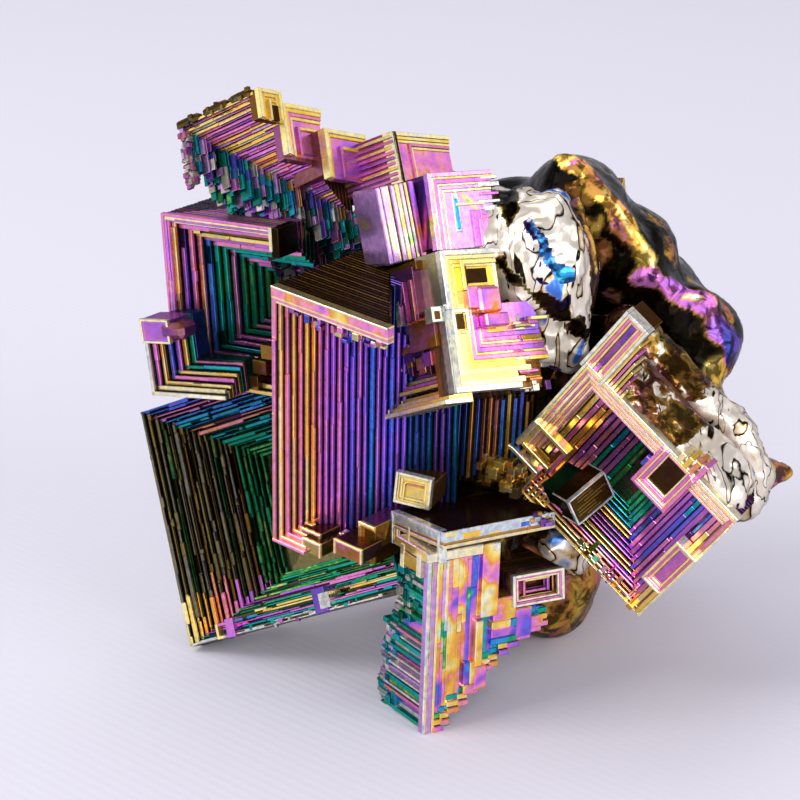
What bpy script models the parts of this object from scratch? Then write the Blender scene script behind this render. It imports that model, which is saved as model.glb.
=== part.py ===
"""A grown-together cluster of bismuth hopper crystals on solidified metal.

Every crystal is a cuboid whose faces sank in steps while its edges grew. The
cluster is one solid that rests on three low corners. Metres, +Z up, the front
towards -Y. Sizes below are in millimetres and turns in degrees.
"""

import math

import bmesh
import bpy
from mathutils import Euler, Matrix, Vector

MM = 0.001
NODE = "bismuth_hopper_crystal"
# Moves the whole cluster so that its box is centred over the origin.
CENTRING = Vector((0.6, -1.75, 0.0))

# Directions in a crystal's own frame: +X right, +Y into the cluster, +Z up.
FACES = {
    "front": Vector((0, -1, 0)),
    "back": Vector((0, 1, 0)),
    "left": Vector((-1, 0, 0)),
    "right": Vector((1, 0, 0)),
    "top": Vector((0, 0, 1)),
    "bottom": Vector((0, 0, -1)),
}

# Each crystal: corner (front, lower, left) in the cluster, turn about X, Y, Z,
# size (width, depth, height), then its terraces. A terrace is (face, levels,
# rise, margins): a negative rise is a stepped pit, a positive one a stepped
# back, and the margins are what the last level has moved in from each side.
HOPPERS = {
    "lower_left_hopper": (
        (-33.6, -3.0, 0.6), (-16.5, -23.5, -26.0), (31.5, 3.5, 29.6),
        [("back", 5, 9.0, (6.0, 3.0, 4.0, 4.5)),
         ("front", 12, -10.0, (10.0, 5.0, 6.4, 8.2))],
    ),
    "upper_left_hopper": (
        (-34.9, 2.0, 33.2), (1.7, -2.5, -36.3), (17.5, 13.0, 20.4),
        [("front", 12, -9.6, (9.6, 3.0, 7.8, 8.4))],
    ),
    "left_cup": (
        (-37.2, -3.0, 32.8), (1.1, -7.6, -36.0), (9.9, 6.4, 9.1),
        [("front", 6, -4.4, (3.4, 1.6, 2.6, 2.6))],
    ),
    "arm_middle_block": (
        (-15.9, -6.6, 60.5), (-27.2, 15.4, 43.0), (6.7, 6.0, 5.3),
        [("front", 3, -1.0, (1.2, 0.8, 0.8, 1.2))],
    ),
    "arm_end_block": (
        (-7.9, -6.4, 59.4), (-24.2, 12.2, 49.6), (10.6, 10.0, 5.9),
        [("front", 3, -1.2, (1.6, 0.8, 0.8, 1.6))],
    ),
    "left_prism": (
        (-9.0, -15.7, 52.0), (-15.2, -3.7, 31.5), (4.6, 6.0, 8.7),
        [("front", 3, -0.9, (0.9, 0.7, 0.7, 1.1))],
    ),
    "middle_prism": (
        (-3.9, -15.2, 53.9), (-20.0, 4.0, 33.0), (9.0, 8.0, 8.2),
        [("front", 3, -0.9, (1.8, 1.2, 1.0, 1.4))],
    ),
    "upper_yellow_block": (
        (-2.9, -22.1, 49.6), (-22.3, 5.9, 34.5), (7.4, 5.0, 5.7),
        [("front", 3, -1.2, (1.6, 1.4, 1.0, 1.2))],
    ),
    "yellow_block": (
        (-2.0, -25.6, 40.4), (-23.0, 5.0, 31.6), (13.9, 13.5, 9.7),
        [("front", 4, -1.2, (3.2, 0.8, 1.2, 2.4)),
         ("left", 5, -4.0, (1.8, 1.6, 1.6, 2.4))],
    ),
    "hook_block": (
        (-8.8, -17.0, 24.7), (0.8, 6.3, -20.7), (4.4, 9.0, 3.0),
        [("front", 3, -0.9, (0.9, 0.9, 0.7, 0.7))],
    ),
    "ribbed_foot_block": (
        (-14.9, -14.7, 18.2), (4.6, 5.4, -41.4), (5.7, 9.1, 4.0),
        [("front", 3, -0.9, (1.2, 1.0, 0.9, 0.9))],
    ),
    "table_plate": (
        (-3.2, -26.0, 22.4), (-3.6, 2.5, 33.7), (15.5, 10.3, 2.0),
        [("left", 2, -1.0, (1.6, 1.6, 0.5, 0.5))],
    ),
    "small_box": (
        (4.9, -20.0, 13.0), (-4.6, 0.5, 25.9), (6.6, 10.0, 3.7),
        [("front", 4, -2.4, (1.2, 1.0, 0.9, 0.9))],
    ),
    "diamond_hopper": (
        (3.1, -8.0, 26.0), (11.0, 40.0, -27.4), (23.9, 4.0, 20.3),
        [("back", 4, 8.0, (3.0, 3.0, 2.0, 3.0)),
         ("front", 12, -9.0, (8.0, 8.0, 2.4, 5.6))],
    ),
    "diamond_rod": (
        (12.1, -20.0, 22.9), (3.8, -28.3, 31.8), (5.7, 12.6, 3.7), [],
    ),
    "back_hopper_high": (
        (22.0, 22.0, 36.0), (12.0, 10.0, 160.0), (19.0, 9.0, 17.0),
        [("front", 9, -7.2, (5.4, 5.0, 4.6, 4.6))],
    ),
    "back_hopper_left": (
        (-8.0, 27.0, 20.0), (-10.0, -14.0, 205.0), (17.0, 10.0, 19.0),
        [("front", 9, -7.2, (5.0, 4.2, 5.2, 5.0))],
    ),
    "back_hopper_low": (
        (20.0, 24.0, 8.0), (6.0, -20.0, 172.0), (14.0, 10.0, 15.0),
        [("front", 8, -5.6, (4.0, 4.0, 4.0, 4.0))],
    ),
}

# The ribbed hopper in front is a corner of steps, open on its right and below.
RIBBED_CORNER = (-22.7, -14.0, 18.9)
RIBBED_TURN = (4.6, 5.4, -41.4)
RIBBED_SIZE = (17.2, 18.0, 31.7)
RIBBED_LEVELS = 14
RIBBED_STEP = 1.07
RIBBED_TOP_STEP = 0.62

# The arm at the upper left: a row of blocks under one stepped, open corner.
ARM_CORNER = (-21.9, -12.9, 58.0)
ARM_TURN = (-26.5, 15.5, 44.5)
ARM_DEPTH = 13.6
ARM_HEIGHT = 14.0
ARM_STEP = 1.0
ARM_LEVELS = 13
# (from, to, how far the top is lower) along the arm
ARM_BLOCKS = [(0.0, 3.4, 0.0), (3.2, 9.4, 1.3), (9.2, 13.6, 3.4)]
ARM_SKIRT = 4.6

# The leg under the table plate narrows downwards in steps.
LEG_CORNER = (-5.5, -26.0, -0.6)
LEG_TURN = (0.1, 2.2, 30.8)
LEG_DEPTH = 6.4
# (from, to) across, then its foot and its top
LEG_STEPS = [
    (0.0, 4.5, 0.0, 22.2), (4.3, 7.0, 3.2, 22.1), (6.8, 9.6, 5.2, 22.0),
    (9.4, 11.4, 8.2, 21.9), (11.2, 13.6, 9.4, 15.4), (13.4, 16.4, 11.4, 14.6),
]
# The rough heel of the leg: (top, depth)
LEG_HEEL = [(7.8, 11.3), (11.8, 9.3), (17.3, 7.4)]

# Lumps of solidified metal: centre, radii and turn.
LUMPS = [
    ((5, 13, 36), (17, 13, 20), (0, 20, 0)),
    ((-5, 11, 47), (11, 9, 10), (0, -20, 10)),
    ((8, 8, 17), (13, 13, 15), (0, 0, 0)),
    ((-7, 13, 19), (12, 9, 12), (0, 0, 0)),
    ((1, -7.5, 17.5), (6, 8, 5.5), (0, 0, 0)),
    ((1, -3, 51), (8, 8, 8), (0, 0, 0)),
    ((7, -6, 48), (8, 9, 10), (0, 0, 20)),
    ((13, 7, 53.6), (6.6, 9, 6), (0, 20, 0)),
    ((18.5, 8, 47), (7.2, 9, 6.8), (0, 0, 0)),
    ((22.6, 9, 41), (6.4, 9, 6.4), (0, 0, 0)),
    ((27.2, 9, 36), (6.8, 8, 7), (0, 0, 0)),
    ((16.5, 5, 31.5), (9, 11, 9), (0, 0, 0)),
    ((24, 1, 28), (8, 9, 8), (0, 0, 0)),
    ((29.8, -2.5, 27), (5, 5, 5.5), (0, 0, 0)),
    ((32, -2, 21), (4.4, 4.5, 5), (0, 0, 0)),
    ((35.8, -2.5, 23), (3.8, 2.4, 2.3), (0, 0, 0)),
    ((10.3, 3, 8.5), (7, 7.6, 9), (0, 0, 0)),
    ((8, 8, 3), (6, 7, 4.5), (0, 0, 0)),
]
VOXEL = 1.1
MOLTEN_SHARE = 0.10
GROUND_DEPTH = 12.0
PIT_CLEARANCE = 0.15
SPACE_OUTSIDE = 3.0


def clear_scene():
    for obj in list(bpy.data.objects):
        bpy.data.objects.remove(obj, do_unlink=True)


def new_collection(name):
    collection = bpy.data.collections.new(name)
    bpy.context.scene.collection.children.link(collection)
    return collection


def placement(corner, turn):
    angles = Euler([math.radians(angle) for angle in turn], "XYZ")
    return Matrix.LocRotScale(Vector(corner) * MM, angles, None)


def finish_material(name, color, roughness):
    material = bpy.data.materials.new(name)
    material.use_nodes = True
    shader = material.node_tree.nodes["Principled BSDF"]
    shader.inputs["Base Color"].default_value = (*color, 1.0)
    shader.inputs["Metallic"].default_value = 1.0
    shader.inputs["Roughness"].default_value = roughness
    return material


def box_mesh(low, high):
    """A bmesh cuboid between two corners given in millimetres."""
    low, high = Vector(low) * MM, Vector(high) * MM
    bm = bmesh.new()
    bmesh.ops.create_cube(bm, size=1.0)
    for vert in bm.verts:
        vert.co = [
            low[axis] if vert.co[axis] < 0 else high[axis] for axis in range(3)
        ]
    return bm


def outermost_face(bm, direction):
    return max(bm.faces, key=lambda face: face.calc_center_median().dot(direction))


def extrude_face(bm, face):
    """Extrudes one face on the spot and returns the new face."""
    result = bmesh.ops.extrude_face_region(bm, geom=[face])
    bmesh.ops.delete(bm, geom=[face], context="FACES_ONLY")
    return next(item for item in result["geom"] if isinstance(item, bmesh.types.BMFace))


def axes_across(direction):
    """The two axes of a face that looks along this axis direction."""
    return [axis for axis in range(3) if abs(direction[axis]) < 0.5]


def terrace(bm, face, levels, push, margins):
    """Steps a face in from its sides and along push, one level at a time.

    The margins are for the low and high side along the face's first axis, then
    along its second, and are what the last level has moved in.
    """
    axes = axes_across(push.normalized())
    for _ in range(levels):
        face = extrude_face(bm, face)
        middle = face.calc_center_median()
        for vert in face.verts:
            for number, axis in enumerate(axes):
                low_side = vert.co[axis] < middle[axis]
                margin = margins[2 * number + (0 if low_side else 1)] * MM / levels
                vert.co[axis] += margin if low_side else -margin
        face = extrude_face(bm, face)
        bmesh.ops.translate(bm, verts=list(face.verts), vec=push * MM / levels)


def new_object(bm, name, collection, matrix, material):
    bmesh.ops.recalc_face_normals(bm, faces=bm.faces)
    mesh = bpy.data.meshes.new(name)
    bm.to_mesh(mesh)
    bm.free()
    mesh.materials.append(material)
    obj = bpy.data.objects.new(name, mesh)
    obj.matrix_world = Matrix.Translation(CENTRING * MM) @ matrix
    collection.objects.link(obj)
    return obj


def as_helper(obj):
    obj.hide_render = True
    obj.display_type = "WIRE"
    return obj


def add_boolean(obj, name, operation, operand):
    modifier = obj.modifiers.new(name, "BOOLEAN")
    modifier.operation = operation
    modifier.solver = "EXACT"
    if isinstance(operand, bpy.types.Collection):
        modifier.operand_type = "COLLECTION"
        modifier.collection = operand
    else:
        modifier.object = operand
    return modifier


def build_hopper(name, spec, grown, clearances, material):
    corner, turn, size, terraces = spec
    matrix = placement(corner, turn)
    bm = box_mesh((0, 0, 0), size)
    for side, levels, rise, margins in terraces:
        normal = FACES[side]
        face = outermost_face(bm, normal)
        terrace(bm, face, levels, normal * rise, margins)
        if rise < 0:
            space = pit_space(size, normal, levels, rise, margins)
            as_helper(new_object(space, f"{name}_{side}_space", clearances, matrix, material))
    return as_helper(new_object(bm, name, grown, matrix, material))


def pit_space(size, normal, levels, rise, margins):
    """The space of a pit, a little larger, to keep the molten metal out of it."""
    axis = max(range(3), key=lambda number: abs(normal[number]))
    low, high = Vector((0, 0, 0)), Vector(size)
    opening = high[axis] if normal[axis] > 0 else 0.0
    low[axis] = min(opening, opening + normal[axis] * SPACE_OUTSIDE)
    high[axis] = max(opening, opening + normal[axis] * SPACE_OUTSIDE)
    bm = box_mesh(low, high)
    face = outermost_face(bm, -normal)
    sides = [max(margin - PIT_CLEARANCE * levels, 0.1) for margin in margins]
    terrace(bm, face, levels, normal * (rise - PIT_CLEARANCE), sides)
    return bm


def build_ribbed_hopper(grown, clearances, cutters, material):
    matrix = placement(RIBBED_CORNER, RIBBED_TURN)
    width, depth, height = RIBBED_SIZE
    body = new_object(box_mesh((0, 0, 0), RIBBED_SIZE), "ribbed_hopper", grown, matrix, material)
    bm = box_mesh(
        (RIBBED_STEP, -2.0, -2.0),
        (width + 2.0, RIBBED_STEP, height - RIBBED_TOP_STEP),
    )
    steps = RIBBED_LEVELS - 1
    margins = [RIBBED_STEP * steps, 0.2, 0.2, RIBBED_TOP_STEP * steps]
    face = outermost_face(bm, FACES["back"])
    terrace(bm, face, steps, FACES["back"] * RIBBED_STEP * steps, margins)
    cutter = as_helper(new_object(bm, "ribbed_hopper_cutter", cutters, matrix, material))
    add_boolean(body, "Open stepped corner", "DIFFERENCE", cutter)
    clearances.objects.link(cutter)
    return as_helper(body)


def build_arm(grown, clearances, cutters, material):
    matrix = placement(ARM_CORNER, ARM_TURN)
    bm = box_mesh(
        (-2.0, -2.0, -14.0),
        (ARM_STEP, ARM_DEPTH - ARM_STEP, ARM_HEIGHT - ARM_STEP),
    )
    steps = ARM_LEVELS - 1
    face = outermost_face(bm, FACES["right"])
    margins = [0.2, ARM_STEP * steps, 0.2, ARM_STEP * steps]
    terrace(bm, face, steps, FACES["right"] * ARM_STEP * steps, margins)
    cutter = as_helper(new_object(bm, "arm_cutter", cutters, matrix, material))
    clearances.objects.link(cutter)
    for number, (start, end, drop) in enumerate(ARM_BLOCKS, 1):
        foot = ARM_HEIGHT - (start + end) / 2 - ARM_SKIRT
        bm = box_mesh((start, 0.1 * number, foot), (end, ARM_DEPTH - 0.1 * number, ARM_HEIGHT - drop))
        block = new_object(bm, f"arm_block_{number}", grown, matrix, material)
        add_boolean(block, "Open stepped corner", "DIFFERENCE", cutter)
        as_helper(block)


def build_leg(grown, material):
    matrix = placement(LEG_CORNER, LEG_TURN)
    blocks = [
        ((start, 0.1 * number, foot), (end, LEG_DEPTH + 0.1 * number, top))
        for number, (start, end, foot, top) in enumerate(LEG_STEPS)
    ]
    blocks += [
        ((0.1 * number, 0.5, 0.0), (4.0 - 0.1 * number, depth, top))
        for number, (top, depth) in enumerate(LEG_HEEL, 1)
    ]
    for number, (low, high) in enumerate(blocks, 1):
        as_helper(new_object(box_mesh(low, high), f"leg_block_{number}", grown, matrix, material))


def build_molten_mass(parts, material):
    bm = bmesh.new()
    for centre, radii, turn in LUMPS:
        matrix = placement(centre, turn) @ Matrix.Diagonal((*(Vector(radii) * MM), 1.0))
        bmesh.ops.create_icosphere(bm, subdivisions=4, radius=1.0, matrix=matrix)
    obj = new_object(bm, NODE, parts, Matrix.Identity(4), material)
    remesh = obj.modifiers.new("Fuse the lumps", "REMESH")
    remesh.mode = "VOXEL"
    remesh.voxel_size = VOXEL * MM
    smooth = obj.modifiers.new("Flow together", "SMOOTH")
    smooth.iterations = 6
    smooth.factor = 0.6
    decimate = obj.modifiers.new("Thin the mesh", "DECIMATE")
    decimate.ratio = MOLTEN_SHARE
    return obj


def build():
    clear_scene()
    parts = new_collection("Bismuth hopper crystal")
    cutters = new_collection("Cutters")
    grown = bpy.data.collections.new("Crystals grown together")
    clearances = bpy.data.collections.new("Pit spaces")
    cutters.children.link(grown)
    cutters.children.link(clearances)
    oxide = finish_material("Iridescent bismuth oxide", (0.52, 0.30, 0.42), 0.28)

    mass = build_molten_mass(parts, oxide)
    for name, spec in HOPPERS.items():
        build_hopper(name, spec, grown, clearances, oxide)
    build_ribbed_hopper(grown, clearances, cutters, oxide)
    build_arm(grown, clearances, cutters, oxide)
    build_leg(grown, oxide)

    add_boolean(mass, "Keep the pits open", "DIFFERENCE", clearances)
    add_boolean(mass, "Grow the crystals together", "UNION", grown)
    ground = box_mesh((-80, -80, -GROUND_DEPTH), (80, 80, 0))
    ground_block = as_helper(new_object(ground, "ground_block", cutters, Matrix.Identity(4), oxide))
    add_boolean(mass, "Flat contact corners", "DIFFERENCE", ground_block)


build()
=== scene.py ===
"""A bismuth hopper crystal cluster, dressed for a pale studio.

Bismuth grows as hoppers: the edges of each cuboid run ahead of its faces, so
every face sinks in thin ledges. Each crystal here is a stack of such ledges
in its own frame (X to its right, Y into the cluster, Z up), set where the
solid has it. Sizes in the tables are millimetres, turns are degrees.
"""

import math
import random
from collections import namedtuple

import bmesh
import bpy
import numpy as np
from mathutils import Euler, Matrix, Vector, noise


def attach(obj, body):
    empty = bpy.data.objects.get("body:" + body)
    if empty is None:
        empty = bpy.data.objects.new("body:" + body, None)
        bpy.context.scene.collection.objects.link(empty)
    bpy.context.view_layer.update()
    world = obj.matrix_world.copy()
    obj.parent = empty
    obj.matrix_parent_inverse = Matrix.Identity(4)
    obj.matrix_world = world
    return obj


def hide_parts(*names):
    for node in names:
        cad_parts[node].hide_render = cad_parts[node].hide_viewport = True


MM = 0.001
NODE = "bismuth_hopper_crystal"
# Where the cluster's own measuring point lies from the row frame's origin.
CENTRING = Vector((0.6, -1.75, 0.0))

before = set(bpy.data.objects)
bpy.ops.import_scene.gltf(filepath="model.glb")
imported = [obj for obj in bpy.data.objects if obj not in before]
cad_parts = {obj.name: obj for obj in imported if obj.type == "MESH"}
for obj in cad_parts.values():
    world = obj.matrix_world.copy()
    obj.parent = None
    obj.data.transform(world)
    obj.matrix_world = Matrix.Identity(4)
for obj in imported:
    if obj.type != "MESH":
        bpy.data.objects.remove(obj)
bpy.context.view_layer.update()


# ---------------------------------------------------------------- materials

def linear(hex_colour):
    """An sRGB hex colour as linear RGBA."""
    channels = [int(hex_colour[i:i + 2], 16) / 255 for i in (1, 3, 5)]
    return [c / 12.92 if c <= 0.04045 else ((c + 0.055) / 1.055) ** 2.4 for c in channels] + [1.0]


def set_stops(ramp, stops):
    """Gives a colour ramp these (place, hex colour) stops."""
    while len(ramp.elements) < len(stops):
        ramp.elements.new(0.5)
    for element, (place, colour) in zip(ramp.elements, stops):
        element.position = place
        element.color = linear(colour)


def add_node(tree, kind, settings=None, **links):
    """Adds a node, sets its properties and feeds its inputs.

    A setting is a property name, an input's name or number, or a ramp's stops.
    A link is given as input name (or in0, in1 for a numbered input) and the
    output it takes.
    """
    node = tree.nodes.new(kind)
    for key, value in (settings or {}).items():
        if key == "stops":
            set_stops(node.color_ramp, value)
        elif isinstance(key, str) and hasattr(node, key):
            setattr(node, key, value)
        else:
            node.inputs[key].default_value = value
    for key, source in links.items():
        numbered = key[:2] == "in" and key[2:].isdigit()
        tree.links.new(source, node.inputs[int(key[2:]) if numbered else key.replace("_", " ")])
    return node


# The colours that bismuth's clear oxide shows as it thickens, thin to thick.
OXIDE_COLOURS = [
    (0.00, "#C4D0D6"), (0.06, "#F2ECD8"), (0.13, "#FBE998"), (0.20, "#F9CC50"),
    (0.27, "#F09C58"), (0.32, "#F29CB2"), (0.38, "#E886CB"), (0.45, "#BA74DA"),
    (0.52, "#8864DC"), (0.60, "#5070DC"), (0.68, "#389CDC"), (0.75, "#28B0A8"),
    (0.82, "#20A474"), (0.88, "#48AC5C"), (0.93, "#B8DA70"), (0.97, "#F4B8B0"), (1.00, "#D8A8E8"),
]
# The cream plates of the molten metal's skin and the soot between them.
SOOT = "#0E0B0A"
PLATE_COLOURS = [
    (0.0, SOOT), (0.34, "#1A120C"), (0.35, "#D8BE90"), (0.37, "#EFE4D0"), (0.462, "#E6DAC6"),
    (0.466, SOOT), (0.474, "#100D0B"), (0.478, "#F0E8DA"), (0.575, "#E2D6C2"), (0.58, SOOT),
    (0.595, "#140E0A"), (0.60, "#C8A468"), (0.625, "#EADFCB"), (0.66, "#4878C8"), (0.70, "#3E6CC0"),
    (0.71, "#E8DFD0"),
]
# How often each pattern repeats in a metre.
BANDS = 210.0  # slow drifts of the film, about 5 mm apart
FLECKS = 1500.0  # short flecks of thicker film, about 0.7 mm apart
WRINKLES = 520.0  # wrinkles in the molten metal's skin, about 2 mm apart
WEAVE = 320.0  # the cloth's threads, drawn coarser than they are so that they show
# The skin ran downwards, so its plates are longer than wide: about 3 by 6 mm.
PLATES = (190.0, 150.0, 80.0)
PLATE_LEAN = 0.35


def new_material(name):
    """A material, its node tree, its shader and the place on the object."""
    material = bpy.data.materials.new(name)
    material.use_nodes = True
    tree = material.node_tree
    shader = tree.nodes["Principled BSDF"]
    return material, tree, shader, add_node(tree, "ShaderNodeTexCoord").outputs["Object"]


def oxidised_bismuth():
    """Bismuth grown from the melt: a mirror-like metal under a clear oxide film.

    The film's thickness gives the colour, so it follows each ledge and drifts
    in slow bands across it. A thin dull haze and fine growth lines break up
    the reflections.
    """
    material, tree, shader, place = new_material("Iridescent oxidised bismuth")
    film, shade, drift = [
        add_node(tree, "ShaderNodeAttribute", {"attribute_name": name}).outputs["Fac"]
        for name in ("film", "shade", "drift")
    ]
    bands = add_node(
        tree, "ShaderNodeTexNoise",
        {"Scale": BANDS, "Detail": 1.0, "Roughness": 0.4, "Distortion": 0.9},
        Vector=place,
    )
    flecks = add_node(tree, "ShaderNodeTexNoise", {"Scale": FLECKS, "Detail": 2.0}, Vector=place)
    centred = add_node(
        tree, "ShaderNodeMath", {"operation": "SUBTRACT", 1: 0.5}, in0=bands.outputs["Fac"],
    )
    swing = add_node(tree, "ShaderNodeMath", {"operation": "MULTIPLY"}, in0=centred.outputs[0], in1=drift)
    fleck = add_node(
        tree, "ShaderNodeMapRange",
        {"From Min": 0.35, "From Max": 0.75, "To Min": -0.012, "To Max": 0.03},
        Value=flecks.outputs["Fac"],
    )
    moved = add_node(tree, "ShaderNodeMath", {"operation": "ADD"}, in0=film, in1=swing.outputs[0])
    thickness = add_node(
        tree, "ShaderNodeMath", {"operation": "ADD", "use_clamp": True},
        in0=moved.outputs[0], in1=fleck.outputs[0],
    )
    colours = add_node(tree, "ShaderNodeValToRGB", {"stops": OXIDE_COLOURS}, Fac=thickness.outputs[0])
    # the shade attribute darkens the colour, partly as dark oxide and partly as painted shade in grooves and
    # pits and painted dark reflection; fine flecks vary it at random
    uneven = add_node(
        tree, "ShaderNodeMapRange",
        {"From Min": 0.3, "From Max": 0.7, "To Min": 0.75, "To Max": 1.1},
        Value=flecks.outputs["Fac"],
    )
    depth = add_node(tree, "ShaderNodeMath", {"operation": "MULTIPLY"}, in0=shade, in1=uneven.outputs[0])
    tint = add_node(
        tree, "ShaderNodeVectorMath", {"operation": "SCALE"},
        in0=colours.outputs["Color"], Scale=depth.outputs[0],
    )
    tree.links.new(tint.outputs[0], shader.inputs["Base Color"])
    # the film scatters a little light, so its colour stays where nothing bright is mirrored
    shader.inputs["Metallic"].default_value = 0.82
    shader.inputs["Specular Tint"].default_value = linear("#8C8080")
    haze = add_node(
        tree, "ShaderNodeMapRange",
        {"From Min": 0.3, "From Max": 0.7, "To Min": 0.16, "To Max": 0.30},
        Value=bands.outputs["Fac"],
    )
    tree.links.new(haze.outputs[0], shader.inputs["Roughness"])
    bump = add_node(
        tree, "ShaderNodeBump", {"Strength": 0.25, "Distance": 0.00006}, Height=flecks.outputs["Fac"],
    )
    tree.links.new(bump.outputs[0], shader.inputs["Normal"])
    return material


def solidified_bismuth():
    """Metal that ran off the crystals and set: smooth dark skin and torn cream plates.

    The skin is black to bronze with violet and gold films, and bright gold,
    violet and white strips along some ridges are painted highlights. Where it
    wrinkled, pale plates with scalloped black edges lie on it.
    """
    material, tree, shader, place = new_material("Solidified bismuth skin")
    film, shade, plates = [
        add_node(tree, "ShaderNodeAttribute", {"attribute_name": name}).outputs["Fac"]
        for name in ("film", "shade", "plates")
    ]
    stretched = add_node(
        tree, "ShaderNodeMapping", {"Scale": PLATES, "Rotation": (0.0, PLATE_LEAN, 0.0)}, Vector=place,
    )
    flow = add_node(
        tree, "ShaderNodeTexNoise", {"Scale": 1.0, "Detail": 2.5, "Roughness": 0.5, "Distortion": 0.9},
        Vector=stretched.outputs["Vector"],
    )
    wrinkles = add_node(
        tree, "ShaderNodeTexNoise",
        {"Scale": WRINKLES, "Detail": 3.0, "Roughness": 0.55, "Distortion": 0.8},
        Vector=place,
    )
    centred = add_node(
        tree, "ShaderNodeMath", {"operation": "SUBTRACT", 1: 0.5}, in0=flow.outputs["Fac"],
    )
    swing = add_node(tree, "ShaderNodeMath", {"operation": "MULTIPLY", 1: 0.45}, in0=centred.outputs[0])
    thickness = add_node(
        tree, "ShaderNodeMath", {"operation": "ADD", "use_clamp": True}, in0=film, in1=swing.outputs[0],
    )
    colours = add_node(tree, "ShaderNodeValToRGB", {"stops": OXIDE_COLOURS}, Fac=thickness.outputs[0])
    blotch = add_node(
        tree, "ShaderNodeMapRange",
        {"From Min": 0.42, "From Max": 0.58, "To Min": 0.18, "To Max": 1.2},
        Value=wrinkles.outputs["Fac"],
    )
    depth = add_node(tree, "ShaderNodeMath", {"operation": "MULTIPLY"}, in0=shade, in1=blotch.outputs[0])
    skin = add_node(
        tree, "ShaderNodeVectorMath", {"operation": "SCALE"},
        in0=colours.outputs["Color"], Scale=depth.outputs[0],
    )
    # cream plates: bands of one noise, black where a plate ends
    plate = add_node(tree, "ShaderNodeValToRGB", {"stops": PLATE_COLOURS}, Fac=flow.outputs["Fac"])
    # the plates' share is broken up by the wrinkles, so they end raggedly
    edge = add_node(
        tree, "ShaderNodeMath", {"operation": "MULTIPLY_ADD", 1: 1.2, 2: -0.6},
        in0=wrinkles.outputs["Fac"],
    )
    ragged = add_node(tree, "ShaderNodeMath", {"operation": "ADD"}, in0=plates, in1=edge.outputs[0])
    share = add_node(
        tree, "ShaderNodeMapRange", {"From Min": 0.45, "From Max": 0.52}, Value=ragged.outputs[0],
    )
    mix = add_node(
        tree, "ShaderNodeMix", {"data_type": "RGBA"},
        in0=share.outputs[0], in6=skin.outputs[0], in7=plate.outputs["Color"],
    )
    tree.links.new(mix.outputs[2], shader.inputs["Base Color"])
    shader.inputs["Metallic"].default_value = 0.6
    shader.inputs["Specular Tint"].default_value = linear("#605858")
    haze = add_node(
        tree, "ShaderNodeMapRange",
        {"From Min": 0.0, "From Max": 1.0, "To Min": 0.12, "To Max": 0.30},
        Value=share.outputs[0],
    )
    tree.links.new(haze.outputs[0], shader.inputs["Roughness"])
    bump = add_node(
        tree, "ShaderNodeBump", {"Strength": 0.16, "Distance": 0.0002}, Height=wrinkles.outputs["Fac"],
    )
    tree.links.new(bump.outputs[0], shader.inputs["Normal"])
    return material


def backdrop_cloth():
    """White cotton sheet, matt, with a faint weave."""
    material, tree, shader, place = new_material("White cotton backdrop")
    weave = add_node(
        tree, "ShaderNodeTexWave",
        {"Scale": WEAVE, "Distortion": 0.6, "Detail": 1.0, "bands_direction": "DIAGONAL"},
        Vector=place,
    )
    shader.inputs["Base Color"].default_value = linear("#DFDDE7")
    shader.inputs["Roughness"].default_value = 0.9
    bump = add_node(
        tree, "ShaderNodeBump", {"Strength": 0.08, "Distance": 0.0002}, Height=weave.outputs["Fac"],
    )
    tree.links.new(bump.outputs[0], shader.inputs["Normal"])
    return material


# ------------------------------------------------------------------ ledges
# A ledge's shade scales its colour. Where it is low on pit floors and in grooves, gaps and holes it is
# painted shade; on some faces it stands for a painted dark reflection.

# What each face of a ledge looks towards. CHAMFER stands for all its bevels.
LEFT, RIGHT, FRONT, REAR, UNDER, TOP, CHAMFER = range(7)
CORNERS = [(x, y, z) for x in (-1, 1) for y in (-1, 1) for z in (-1, 1)]
# A chamfered box has three points at each corner.
BOX_POINTS = 3 * len(CORNERS)
BEVEL = 0.055
# A bevel takes no more than this share of a ledge's thinnest side.
BEVEL_SHARE = 0.3
# Nothing thinner than this is worth a ledge.
THINNEST = 0.02
# The oxide is thinner on the bevels, and they are brightened as a painted edge highlight.
BEVEL_FILM = -0.05
BEVEL_HIGHLIGHT_GAIN, BEVEL_GLINT, BEVEL_HIGHLIGHT_MAX = 1.25, 0.06, 1.15
# The most that a ledge's film, shade and drift can be.
TONE_LIMIT = 1.2


def corner_number(axes, signs):
    """The number of the corner on these sides of these axes."""
    corner = dict(zip(axes, signs))
    return CORNERS.index((corner[0], corner[1], corner[2]))


def chamfered_box():
    """Faces of a box with chamfered edges, and what each face is.

    Point 3 * corner + axis lies on the flat across that axis. A face's kind
    is 2 * axis + (1 if it looks along +axis), or CHAMFER.
    """
    faces = []
    for axis in range(3):
        first, second = [other for other in range(3) if other != axis]
        for sign in (-1, 1):
            flat = [
                3 * corner_number((axis, first, second), (sign, a, b)) + axis
                for a, b in ((-1, -1), (1, -1), (1, 1), (-1, 1))
            ]
            faces.append((flat, 2 * axis + (sign > 0)))
    for along in range(3):
        first, second = [other for other in range(3) if other != along]
        for a in (-1, 1):
            for b in (-1, 1):
                start, end = [3 * corner_number((along, first, second), (sign, a, b)) for sign in (-1, 1)]
                faces.append(([start + first, end + first, end + second, start + second], CHAMFER))
    for point in range(0, BOX_POINTS, 3):
        faces.append(([point, point + 1, point + 2], CHAMFER))
    # any bevel shows which way round a face looks outward
    points = box_points(-np.ones(3), np.ones(3), 0.2)
    outward = []
    for loop, kind in faces:
        a, b, c = points[loop[0]], points[loop[1]], points[loop[2]]
        if np.dot(np.cross(b - a, c - a), a + b + c) < 0:
            loop = loop[::-1]
        outward.append((loop, kind))
    return outward


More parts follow.
